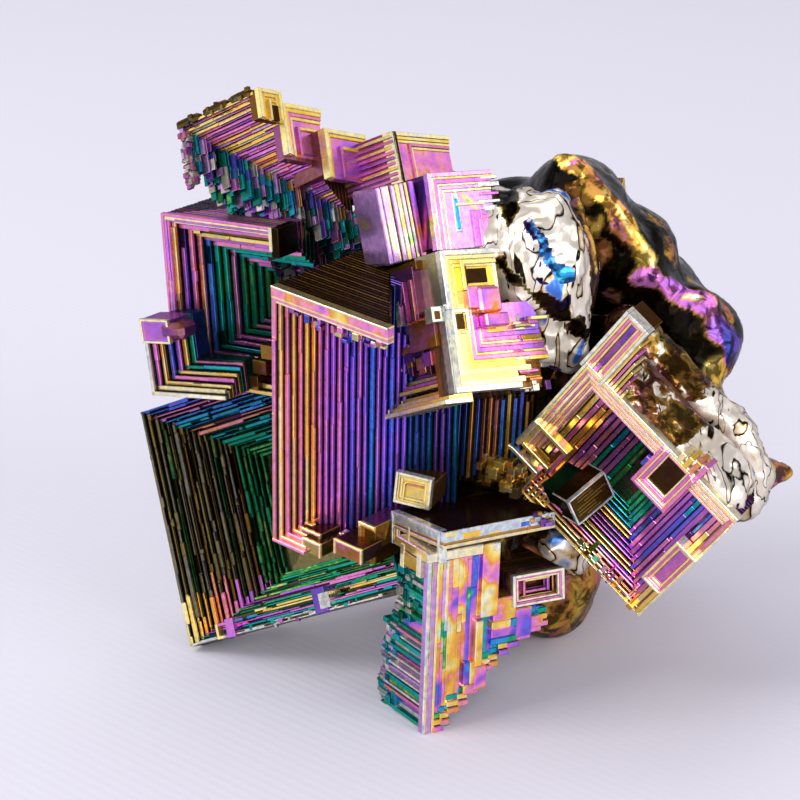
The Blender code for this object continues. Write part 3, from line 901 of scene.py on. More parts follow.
def grow_arm():
    """A row of blocks under one corner of ledges that opens to the left."""
    growth = Growth("arm_ledges", 31)
    rng = growth.rng
    growth.at((-21.9, -12.9, 58.0), (-26.5, 15.5, 44.5))
    step = ARM_REACH / ARM_RIBS
    for rib in range(ARM_RIBS + 1):
        start = rib * step
        end = min(start + step, ARM_DEPTH)
        drop = next(lower for block_end, lower in ARM_BLOCKS if start < block_end)
        level = rib / ARM_RIBS
        inner = ARM_HEIGHT - end
        back = ARM_DEPTH - end
        top = ARM_HEIGHT - drop - rng.uniform(0, 0.1)
        # roof ledge: a bright lip in lengths, and the dark body behind it
        cuts = [0.0, rng.uniform(0.15, 0.4), rng.uniform(0.5, 0.8), 1.0]
        for cut, next_cut in zip(cuts, cuts[1:]):
            near = ARM_FRONT + (ARM_DEPTH - ARM_FRONT) * cut
            far = ARM_FRONT + (ARM_DEPTH - ARM_FRONT) * next_cut
            film = step_of(ARM_ROOF_FILMS, level) + rng.gauss(0, 0.02)
            growth.bar((start + rng.uniform(-0.05, 0.1), near, inner + rng.uniform(-0.08, 0.08)),
                       (start + 0.5 * step, far, min(inner + step * 0.6, top)), film, rng.uniform(0.8, 1.1),
                       {UNDER: (0.05, 0.85)})
            growth.bar((start + 0.55 * step, near, inner - 0.42 * step),
                       (start + 0.85 * step, far, min(inner + 0.1, top)),
                       rng.choice((0.05, 1.05, 0.44, 0.36, 0.20)), rng.uniform(0.4, 1.0),
                       {UNDER: (0.02, 0.7)})
        # the block behind the lips is near black as painted shade in the grooves between them, its top face
        # less dark
        if top > inner + 0.1:
            growth.bar((start + 0.4 * step, ARM_FRONT, inner + 0.1), (end + 0.04, ARM_DEPTH, top), 0.3,
                       0.10, {TOP: (0.0, 4.0)}, 0.2)
        # posts of the wall behind, rippled and cut into short lengths
        deep = back
        while deep < ARM_DEPTH - 0.2:
            next_deep = min(deep + rng.uniform(0.4, 1.2), ARM_DEPTH)
            foot = ARM_FEET - start + rng.uniform(-1.2, 0.7)
            low = foot
            while low < inner:
                high = min(low + rng.uniform(0.8, 2.6), inner + 0.1)
                rise = (low - foot) / max(inner - foot, 0.1)
                film = blend(0.79, 0.44, rise + rng.uniform(-0.25, 0.25))
                film += rng.choice((0.0, 0.0, -0.28, -0.4, 0.04))
                film = rng.choice((film, film, film, 0.02, 0.76, 1.05))
                # no light reaches the far right corner
                dusk = 0.1 if start > 9 and deep > 3.4 else 1.0
                for across in (0.0, 0.5 * step):
                    growth.bar((start + across + rng.uniform(-0.2, 0.2), deep + rng.uniform(-0.1, 0.1),
                                low),
                               (start + across + step * rng.uniform(0.2, 0.35), next_deep + 0.05, high),
                               max(film, 0.02), dusk * rng.uniform(0.25, 1.15),
                               {LEFT: (0.03, 0.9), UNDER: (0.0, 0.25)})
                low = high
            deep = next_deep
        # a near-black wall behind the posts: painted shade in the gaps between them
        growth.bar((start + 0.5 * step, back + 0.3, foot + 0.5), (end + 0.05, ARM_DEPTH, inner), 0.76, 0.10)
    # dark strips on the ridge and a rough knob at its far end
    for near, far in ((1.4, 4.6), (5.2, 9.2), (10.0, 13.8)):
        growth.bar((-0.35, near, ARM_HEIGHT - 0.5), (0.9, far, ARM_HEIGHT + 0.35), 0.24, 0.07, drift=0.1,
                   bevel=0.3)
        growth.crumbs((-0.3, near, ARM_HEIGHT - 0.5), (0.8, far, ARM_HEIGHT + 0.2), 16, 0.5, (0.24, 0.10),
                      (0.04, 0.3))
    growth.crumbs((0.0, 12.6, 6.4), (1.4, 13.7, 12.6), 150, 0.56, (0.36, 0.05, 0.04, 0.42, 0.34), (0.2, 0.8))
    # two gold faces at the front of the row
    growth.bar((0.0, 0.6, 10.5), (3.5, 1.6, 13.95), 0.24, 0.2)
    growth.frames((0.0, 10.5), (3.6, 14.0), [(0.5, 0.12, 1.1), (0.4, 0.17, 1.05)], sides=ARCH,
                  floor=(0.17, 1.0, 0.15), sink=0.15, top=-0.05, thick=0.4)
    growth.spiral((1.4, 10.3), (3.3, 12.8), 0.3,
                  [(0.12, 1.0), (0.17, 1.0), (0.13, 1.0), (0.2, 0.3), (0.24, 0.1)], top=-0.15, thick=0.5)
    growth.bar((2.0, 0.05, 10.4), (2.9, 0.6, 12.2), 0.24, 0.05)
    growth.bar((3.4, 0.7, 6.2), (9.5, 1.9, 12.6), 0.36, 0.4)
    growth.frames((3.4, 6.6), (9.7, 12.7),
                  [(0.5, 0.12, 1.1), (0.45, 0.17, 1.05), (0.4, 0.34, 1.0), (0.4, 0.15, 1.05)],
                  sides=TOP_LEFT, floor=(0.33, 1.05, 0.5), sink=0.14, top=-0.05, thick=0.4)
    growth.spiral((5.6, 6.8), (9.3, 10.2), 0.38,
                  [(0.38, 1.0), (0.16, 1.05), (0.36, 1.0), (0.44, 0.9), (0.38, 0.6), (0.42, 0.5),
                   (0.4, 0.4)],
                  top=0.1, sink=0.12, thick=0.9)
    growth.bar((6.3, 0.6, 7.2), (8.4, 1.2, 9.4), 0.42, 0.05)
    # the two blocks behind them
    growth.at((-15.9, -6.6, 60.5), (-27.2, 15.4, 43.0))
    growth.bar((0.0, 1.0, 0.0), (6.7, 6.0, 5.3), 0.30, 0.3, {TOP: (-0.1, 2.5)})
    growth.frames((0.0, -0.6), (6.7, 5.3), [(0.55, 0.12, 1.1), (0.4, 0.18, 1.05)], sides=TOP_LEFT,
                  floor=(0.36, 1.05, 0.45), sink=0.15, top=0.0, thick=0.8)
    growth.spiral((2.2, -0.4), (6.2, 3.4), 0.42,
                  [(0.38, 1.0), (0.16, 1.0), (0.40, 1.0), (0.36, 0.9), (0.44, 0.9), (0.17, 0.9),
                   (0.40, 0.6), (0.5, 0.3)],
                  top=-0.1, sink=0.1, thick=0.9)
    growth.at((-7.9, -6.4, 59.4), (-24.2, 12.2, 49.6))
    growth.bar((0.0, 1.4, 0.0), (10.6, 10.0, 5.9), 0.36, 0.35, {TOP: (-0.2, 2.5)})
    growth.frames((0.0, -0.3), (10.6, 5.9), [(0.5, 0.10, 1.1), (0.4, 0.16, 1.1), (0.35, 0.14, 1.1)],
                  sides=TOP_LEFT, floor=(0.35, 1.05, 0.45), sink=0.12, top=0.0, thick=1.1)
    growth.frames((3.0, -0.3), (10.5, 4.7),
                  [(0.4, 0.36, 1.0), (0.35, 0.15, 1.05), (0.4, 0.40, 1.0), (0.3, 0.12, 1.05),
                   (0.3, 0.30, 0.2), (0.4, 0.38, 1.0), (0.3, 0.16, 1.0), (0.35, 0.42, 0.9)],
                  sides=TOP_LEFT, floor=(0.36, 0.9, 0.2), sink=0.13, top=0.15, thick=0.4)
    # its left side: pink bars with painted shade in the gaps between them
    growth.face_left(10.0)
    for number, film in enumerate(ARM_SIDE_FILMS):
        low = 0.2 + 0.62 * number
        growth.bar((rng.uniform(0, 2.5), -0.12 - rng.uniform(0, 0.2), low),
                   (10.0 - rng.uniform(0, 0.4), 0.8, low + 0.34), film, rng.uniform(0.7, 1.05),
                   {UNDER: (0.0, 0.3)})
    growth.bar((0.0, 0.1, 0.0), (10.0, 0.9, 5.9), 0.3, 0.06)
    return [growth]


# The streaks of the lilac prism, (film, width) from left to right.
PRISM_STREAKS = [(1.06, 0.5), (1.03, 0.8), (0.14, 0.4), (1.08, 0.5), (0.15, 0.5), (1.02, 0.5), (0.14, 0.3),
                 (0.42, 0.6)]
# The sills of the big gold block, (film, length) from the lowest up.
GOLD_SILLS = [(0.07, 9.2), (0.12, 9.8), (0.15, 9.0), (0.13, 10.4), (0.17, 9.6)]


def grow_front_blocks():
    """The prisms and gold blocks above the ribbed hopper."""
    growth = Growth("front_block_ledges", 41)
    rng = growth.rng
    # the lilac prism on the left, streaked from top to bottom
    growth.at((-9.0, -15.7, 52.0), (-15.2, -3.7, 31.5))
    growth.bar((0.0, 0.4, 0.0), (4.6, 6.0, 8.6), 1.08, 0.75, {TOP: (0.0, 0.9)}, 0.5, bevel=0.3)
    for number, (film, wide) in enumerate(PRISM_STREAKS):
        across = 0.6 * number
        growth.bar((across - 0.05, 0.05 * (number % 3) - 0.05, 0.1),
                   (across + wide, 1.0, 8.7 - rng.uniform(0, 0.15)), film, 0.7, drift=0.8, bevel=0.12)
    for number in range(5):
        growth.bar((4.55 + 0.5 * number, 0.5 + 0.75 * number, 0.4 + 0.25 * number),
                   (5.1 + 0.5 * number, 6.0, 8.5), step_of((0.46, 0.15, 0.48, 0.54, 0.52), number / 5),
                   blend(1.0, 0.25, number / 4), drift=0.15)
    # the lilac block beside it, torn into silver on its right
    growth.at((-3.9, -15.2, 53.9), (-20.0, 4.0, 33.0))
    growth.bar((0.0, 0.8, 0.0), (9.0, 8.0, 8.2), 0.44, 0.3, {TOP: (0.55, 2.6)}, 0.4)
    growth.frames((0.0, -0.3), (8.6, 8.3),
                  [(0.5, 1.06, 1.0), (0.25, 0.14, 1.1), (0.5, 0.40, 1.05), (0.25, 0.10, 1.1),
                   (0.4, 1.06, 1.0), (0.3, 0.10, 1.0)],
                  sides=TOP_LEFT, floor=(1.04, 0.95, 0.9), sink=0.08, top=0.0, thick=0.5, drift=0.5)
    growth.bar((3.0, 0.40, 1.4), (4.2, 1.2, 6.2), 0.0, 0.8, drift=0.3, bevel=0.25)
    growth.bar((3.2, 0.30, 1.8), (3.9, 1.2, 5.4), 0.68, 0.9, drift=0.9, bevel=0.2)
    growth.bar((3.4, 0.1, 4.5), (7.2, 1.2, 4.8), 0.12, 1.05)
    growth.bar((5.4, 0.2, -0.2), (7.4, 1.2, 3.9), 0.44, 1.05, drift=0.3)
    growth.bar((6.1, 0.0, -0.2), (7.4, 1.2, 2.9), 0.38, 1.05, drift=0.3)
    for number in range(9):
        up = 0.1 + 0.9 * number
        growth.bar((6.4 + rng.uniform(0, 0.8), -0.1 + rng.uniform(0, 0.3), up),
                   (9.4, 2.0, up + rng.uniform(0.3, 0.7)), rng.choice((0.04, 0.07, 0.38, 0.02)), 0.95,
                   drift=0.12)
    # the small gold block: a dark window under its lintel
    growth.at((-2.9, -22.1, 49.6), (-22.3, 5.9, 34.5))
    growth.bar((0.0, 0.9, -0.5), (7.4, 5.0, 5.7), 0.10, 0.5, {LEFT: (0.0, 0.9), TOP: (0.0, 1.4)}, 0.1)
    growth.frames((0.0, -0.8), (7.4, 5.7),
                  [(0.6, 0.04, 0.95), (0.45, 0.12, 1.1), (0.45, 0.16, 1.1), (0.4, 0.13, 1.1)],
                  sides=TOP_LEFT, floor=(0.18, 1.05, 0.12), sink=0.16, top=0.0, thick=0.5)
    growth.spiral((2.4, 1.2), (7.3, 4.5), 0.45,
                  [(0.15, 1.05), (0.12, 1.1), (0.08, 1.05), (0.3, 0.5), (0.24, 0.08)], top=-0.2, sink=0.12,
                  thick=1.2)
    # the window is a flat patch painted near black: painted shade of a hole
    growth.bar((2.9, 0.45, 2.0), (6.2, 1.4, 3.6), 0.24, 0.04)
    growth.bar((3.0, 0.0, -0.8), (4.4, 1.4, 1.6), 0.34, 1.0, drift=0.4)
    growth.bar((4.2, -0.4, -1.4), (7.2, 1.4, 1.4), 0.36, 1.05, drift=0.6, bevel=0.3)
    growth.bar((4.6, -0.5, -3.0), (7.8, 1.4, -1.5), 0.42, 1.05, drift=0.5, bevel=0.2)
    # the big gold block: a pale front corner with nested angles behind it
    growth.at((-2.0, -25.6, 40.4), (-23.0, 5.0, 31.6))
    growth.bar((3.4, 2.2, 0.0), (13.0, 13.5, 6.6), 0.25, 0.12, {UNDER: (0.0, 1.5)})
    growth.bar((0.0, 0.6, 0.0), (2.8, 3.4, 9.6), 0.25, 0.3, {TOP: (-0.05, 2.0)})
    growth.bar((2.8, 2.1, 0.0), (13.0, 3.4, 9.6), 0.25, 0.3, {TOP: (-0.05, 2.0)})
    growth.frames((0.0, 0.0), (2.9, 9.7),
                  [(0.25, 0.02, 0.9), (0.55, 0.09, 1.1), (0.8, 0.12, 1.1), (0.9, 0.15, 1.1)],
                  sides=("left",), floor=(0.17, 1.1, 0.05), sink=0.08, top=0.0, thick=2.2, drift=0.05)
    growth.frames((2.8, 3.0), (13.2, 9.7),
                  [(0.45, 0.16, 1.1), (0.5, 0.34, 1.05), (0.3, 0.15, 1.1), (0.55, 0.44, 1.05),
                   (0.35, 0.36, 1.05), (0.3, 0.16, 1.1), (0.5, 0.38, 1.05), (0.5, 0.46, 1.05)],
                  sides=("left", "bottom"), floor=(0.34, 1.05, 0.7), sink=0.16, top=0.4, thick=1.2,
                  drift=0.2)
    for number, (film, reach) in enumerate(GOLD_SILLS):
        growth.bar((0.2, -0.02 + 0.08 * number, 0.62 * number),
                   (reach + rng.uniform(-0.4, 0.4), 2.4, 0.62 * number + 0.66), film, 1.1, drift=0.06)
    growth.spiral((0.9, 6.4), (3.1, 9.1), 0.4, [(0.08, 1.1), (0.06, 1.1), (0.12, 1.1), (0.15, 0.7)],
                  top=-0.15, sink=0.04, thick=0.5)
    # near-black patches in the window and in the small ledge to its left: painted shade of holes
    growth.bar((1.45, -0.02, 6.9), (2.45, 0.4, 8.6), 0.24, 0.06)
    growth.bar((-1.4, 0.3, 7.9), (0.2, 1.8, 9.6), 0.06, 0.7, drift=0.1)
    growth.bar((-1.1, 0.2, 8.2), (-0.4, 0.6, 9.1), 0.24, 0.08)
    # its right end is torn: cream, brown and violet shreds
    for number in range(26):
        up = rng.uniform(-0.2, 7.6)
        across = rng.uniform(8.6, 11.5)
        growth.bar((across, rng.uniform(0.0, 1.6), up),
                   (across + rng.uniform(1.0, 2.6), 3.0, up + rng.uniform(0.15, 0.5)),
                   rng.choice((0.06, 0.10, 0.18, 0.24, 0.36, 0.46)), rng.uniform(0.35, 1.05), drift=0.2)
    growth.crumbs((9.5, 1.6, 0.0), (13.4, 3.4, 8.0), 60, 0.8, (0.04, 0.24, 0.46, 0.06), (0.15, 0.9))
    # its left side: a grey strip in front, a brown pit with gold ledges behind
    growth.face_left(13.5)
    growth.bar((12.2, -0.05, 0.0), (13.5, 1.0, 9.6), 0.04, 0.42, drift=0.2)
    growth.frames((-1.0, -1.0), (12.4, 6.7),
                  [(0.5, 0.10, 1.0), (0.45, 0.17, 0.95), (0.45, 0.12, 0.9), (0.4, 0.20, 0.8)],
                  sides=("bottom", "left"), sink=0.55, top=-0.7, thick=1.4, drift=0.08)
    for number in range(5):
        growth.bar((1.6 + 0.3 * number, 0.2 + 0.5 * number, 1.2 + 0.5 * number),
                   (12.3, 3.2, 1.6 + 0.5 * number), step_of((0.17, 0.36, 0.14, 0.40, 0.30), number / 5),
                   blend(0.9, 0.4, number / 4), drift=0.12)
    growth.crumbs((0.5, 0.4, 3.4), (12.0, 2.6, 6.8), 90, 1.3, (0.24, 0.40, 0.36, 0.28, 0.42), (0.06, 0.5))
    growth.bar((0.0, -0.1, 5.6), (11.8, 0.8, 6.3), 0.25, 0.3, {FRONT: (0.0, 1.4)}, 0.2)
    # the dark magenta box that hangs there
    growth.bar((4.4, -1.0, 8.8), (9.8, 2.6, 14.6), 0.42, 0.22, {TOP: (-0.2, 1.0)}, 0.3)
    for across, wide, film, shade in ((4.4, 0.5, 0.44, 0.6), (8.9, 0.7, 0.36, 0.5), (5.6, 0.9, 0.06, 0.95),
                                      (7.4, 0.5, 0.40, 0.5)):
        growth.bar((across, -1.3, 8.6), (across + wide, 0.4, 13.4 - rng.uniform(0, 0.6)), film, shade,
                   drift=0.2)
    growth.bar((3.0, -0.8, 14.2), (10.4, 2.6, 15.2), 0.25, 0.16, {UNDER: (0.0, 2.0)}, 0.1)
    growth.bar((2.6, -0.6, 13.6), (6.4, 0.6, 14.2), 0.15, 0.95)
    # the brown block under it
    growth.bar((6.6, -0.6, 5.4), (12.0, 2.0, 8.9), 0.26, 0.22, {FRONT: (0.0, 1.6)}, 0.3)
    return [growth]


# How high the leg's foot and top are at each place across it.
LEG_FEET = [(0.0, 0.0), (1.8, 0.4), (3.0, 1.6), (4.5, 3.0), (6.5, 4.0), (8.0, 6.6), (10.1, 8.2),
            (12.3, 9.4), (16.4, 11.2)]
LEG_TOPS = [(0.0, 22.0), (9.4, 22.0), (9.5, 15.4), (12.3, 15.2), (12.4, 13.8), (16.4, 13.0)]
LEG_DEPTH, LEG_WIDTH, LEG_HEIGHT = 6.4, 16.2, 22.0
# Its ledges are thinner and paler before this place across it.
LEG_CORNER = 3.4
# Just above the floor, in the leg's own frame.
LEG_SOLE = 0.62
# How deep the heel is at each height.
HEEL = [(0.0, 10.4), (2.0, 11.2), (7.0, 10.8), (11.0, 9.0), (15.0, 7.6), (22.0, 6.6)]
HEEL_LOW_FILMS = (0.76, 0.80, 0.36, 0.02, 0.90, 0.02, 1.06)
HEEL_HIGH_FILMS = (0.74, 0.78, 0.02)
# Gold and pink steps that stand out on its right: (low corner, high corner, film).
LEG_STEPS = [
    ((7.2, 0.0, 13.4), (9.5, 3.0, 22.3), 0.19), ((9.0, 0.1, 12.6), (12.1, 3.0, 15.4), 0.30),
    ((6.6, -0.1, 7.6), (7.6, 3.0, 13.2), 0.22), ((8.8, 0.0, 9.8), (12.2, 3.0, 10.6), 0.70),
    ((8.8, 0.05, 10.6), (12.2, 3.0, 11.7), 0.44), ((8.8, 0.0, 11.7), (11.4, 3.0, 12.7), 0.20),
    ((11.4, 0.0, 11.7), (12.2, 3.0, 12.7), 0.72), ((5.2, -0.1, 4.4), (6.7, 3.0, 5.6), 0.36),
    ((5.2, -0.05, 5.6), (6.0, 3.0, 8.4), 0.70), ((6.0, -0.1, 5.6), (6.7, 3.0, 8.4), 0.24),
    ((6.6, -0.2, 4.8), (8.2, 3.0, 7.7), 0.34), ((12.0, 0.3, 10.0), (14.4, 3.0, 13.6), 0.36),
    ((13.8, 0.5, 10.8), (16.2, 3.0, 12.2), 0.24),
]
# Markings on the plate's front edge: (across, width, bottom, top, film).
PLATE_MARKS = [
    (2.6, 2.4, 0.8, 1.5, 0.20), (0.3, 1.5, 1.3, 1.9, 0.14), (10.6, 1.2, 0.9, 1.4, 0.62),
    (12.2, 2.6, 1.1, 1.9, 0.05), (6.2, 1.6, 0.75, 1.0, 0.17),
]


def along_table(table, place):
    """The value between two rows of a (place, value) table."""
    for (a, low), (b, high) in zip(table, table[1:]):
        if place <= b:
            return blend(low, high, (place - a) / (b - a))
    return table[-1][1]


def grow_leg():
    """The pillar in front, the plate it carries and the small boxes there."""
    growth = Growth("leg_ledges", 51)
    rng = growth.rng
    growth.at((-5.5, -26.0, -0.6), (0.1, 2.2, 30.8))
    place, number = 0.0, 0
    while place < LEG_WIDTH:
        wide = rng.uniform(0.3, 0.5) if place < LEG_CORNER else rng.uniform(0.45, 1.0)
        foot = max(along_table(LEG_FEET, place + wide / 2) + rng.uniform(-0.5, 0.5) * (place > 1.2), 0.65)
        top = along_table(LEG_TOPS, place + wide / 2)
        near = 0.06 * place + rng.uniform(0, 0.18)
        deep = 0.9 if place < 0.5 else LEG_DEPTH + 0.06 * place
        # colours run down the leg: gold and pink, then violet, then teal
        cuts = [foot] + sorted(rng.uniform(foot, top) for _ in range(2)) + [top]
        for low, high in zip(cuts, cuts[1:]):
            fall = 1 - ((low + high) / 2 - foot) / LEG_HEIGHT
            film = 0.17 + 0.5 * fall ** 1.8 + 0.01 * place + rng.choice((-0.04, 0.0, 0.0, 0.04, 0.18))
            if place < LEG_CORNER:
                film = rng.choice((0.14, 1.06, 0.18, 0.40, 0.34)) + (0.2 * fall ** 2 if number % 2 else 0.0)
            growth.bar((place, near + rng.uniform(0, 0.1), low), (place + wide + 0.02, deep, high), film,
                       1.1, {RIGHT: (0.05, 0.75), UNDER: (0.1, 0.6)}, 1.4, bevel=0.08)
        # terraces at the foot, stepping forward
        if place > 1.6 and number % 2 == 0:
            for rung in range(3):
                low = foot - 0.1 + 0.75 * rung
                growth.bar((place - 0.3, near - 0.5 + 0.22 * rung, low),
                           (place + wide + 0.5, near + 1.0, low + 0.7),
                           step_of((0.36, 0.17, 0.78), rung / 3) + rng.uniform(-0.08, 0.08), 1.1,
                           {TOP: (0.1, 0.8)}, 0.5, bevel=0.1)
        place += wide
        number += 1
    # gold steps that stand out on the right
    for low, high, film in LEG_STEPS:
        growth.bar(low, high, film, 1.1, {TOP: (0.1, 0.7)}, 1.9, bevel=0.12)
    # the front corner: smooth cream and lilac
    growth.bar((-0.08, -0.1, LEG_SOLE), (0.45, 0.95, 22.2), 0.08, 0.9, drift=0.3, bevel=0.12,
               paint={LEFT: (1.08, 0.9)})
    growth.bar((0.42, -0.04, LEG_SOLE), (1.15, 0.9, 22.2), 1.06, 0.9, drift=0.4, bevel=0.12)
    growth.bar((1.12, -0.08, LEG_SOLE), (1.45, 0.9, 22.2), 0.15, 1.1, drift=0.1)
    # the cap under the plate, with an amber hollow in its left side
    growth.bar((-0.4, -0.3, 21.3), (7.0, 6.6, 22.5), 0.08, 1.05, {LEFT: (0.1, 0.9)}, 0.12, bevel=0.12)
    growth.bar((-0.5, 1.0, 19.2), (0.6, 1.9, 22.0), 0.10, 1.0)
    growth.bar((-0.42, 1.9, 19.6), (0.6, 4.6, 21.2), 0.24, 0.55, drift=0.3)
    growth.bar((-0.5, 4.6, 19.2), (0.6, 5.4, 22.0), 0.12, 0.95)
    # the heel: thin rough ledges one on another
    low = LEG_SOLE
    while low < 21.8:
        high = low + rng.uniform(0.18, 0.5)
        middle = (low + high) / 2
        deep = along_table(HEEL, middle)
        rough = deep - rng.uniform(1.6, 2.6)
        film = rng.choice(HEEL_LOW_FILMS if middle < 12 else HEEL_HIGH_FILMS)
        sunk = rng.choice((0.0, 0.35, 0.7))
        growth.bar((0.1 + sunk, 0.6, low), (4.0, rough, high + 0.03), film, rng.uniform(0.6, 1.15), drift=0.3)
        growth.bar((0.3 + rng.uniform(0, 0.5), rough, low), (4.0, deep - rng.uniform(0, 0.7), high + 0.03),
                   rng.choice((0.02, 0.02, 0.76, 1.05)), rng.uniform(0.4, 0.9), drift=0.2)
        low = high
    growth.crumbs((0.3, 6.0, 1.0), (1.6, 9.0, 12.0), 70, 0.8, (0.02, 0.78, 0.72, 0.62, 0.05), (0.3, 0.95))
    growth.crumbs((0.3, 2.0, 13.0), (1.4, 6.6, 19.0), 60, 0.9, (0.02, 0.78, 0.74), (0.2, 0.7))
    # the plate: a stack of thin sheets, pale on its edges and dark on top
    growth.at((-3.2, -26.0, 22.4), (-3.6, 2.5, 33.7))
    for low, high, film, shade in ((0.0, 0.4, 0.10, 0.9), (0.4, 0.7, 0.24, 0.5), (0.7, 1.95, 0.0, 1.1)):
        growth.bar((rng.uniform(0, 0.08), rng.uniform(0, 0.08), low),
                   (15.5 - rng.uniform(0, 0.1), 10.3, high + 0.01), film, shade, drift=0.08,
                   paint={TOP: (0.30, 0.06)})
    for across, wide, low, high, film in PLATE_MARKS:
        growth.bar((across, -0.03, low), (across + wide, 0.4, high), film, 1.05, drift=0.12)
    growth.crumbs((11.5, 0.0, 0.6), (15.2, 0.6, 2.0), 34, 0.6, (0.60, 0.48, 0.04, 0.24), (0.2, 0.9))
    growth.face_left(10.3)
    growth.bar((0.0, 0.5, -1.7), (9.4, 2.5, 1.0), 0.24, 0.08)
    growth.frames((-0.1, -1.8), (9.6, 2.0),
                  [(0.4, 0.02, 1.1), (0.2, 0.24, 0.5), (0.3, 0.12, 1.05), (0.25, 0.03, 1.0)], sink=0.14,
                  top=-0.1, thick=0.5, drift=0.05)
    growth.spiral((3.2, -0.7), (6.8, 0.9), 0.3, [(0.10, 0.9), (0.05, 0.9), (0.3, 0.4), (0.1, 0.6)], top=0.0,
                  thick=0.8)
    # the yellow box above the plate
    growth.at((-8.8, -17.0, 24.7), (0.8, 6.3, -20.7))
    growth.bar((0.0, 0.6, 0.0), (4.4, 9.0, 3.0), 0.25, 0.22, {TOP: (0.0, 0.7)}, 0.2)
    growth.frames((0.0, 0.0), (4.4, 3.8), [(0.35, 0.08, 1.1), (0.25, 0.17, 1.05), (0.3, 0.14, 1.1)],
                  floor=(0.18, 0.9, 0.1), sink=0.12, top=-0.1, thick=0.5, drift=0.06)
    growth.spiral((1.0, 0.4), (3.5, 2.6), 0.28,
                  [(0.14, 1.0), (0.30, 0.8), (0.15, 1.0), (0.12, 1.0), (0.24, 0.1)], top=-0.05, thick=0.6)
    # the box on the right of the leg
    growth.at((4.9, -20.0, 13.0), (-4.6, 0.5, 25.9))
    hopper(growth, (6.6, 10.0, 3.7), 2.4, 5, (2.0, 1.6, 1.3, 1.3), small_box_tone, ragged=0.05,
           riser=(0.1, 0.8))
    growth.frames((-0.05, -0.05), (6.65, 3.75), [(0.35, 0.06, 1.1), (0.2, 0.38, 1.0), (0.25, 0.08, 1.1)],
                  sink=0.12, top=-0.12, thick=0.4, drift=0.05)
    growth.spiral((1.6, 1.0), (5.2, 2.8), 0.28,
                  [(0.36, 1.0), (0.14, 1.0), (0.44, 1.0), (0.38, 0.8), (0.5, 0.6)], top=0.5, thick=1.0)
    return [growth]


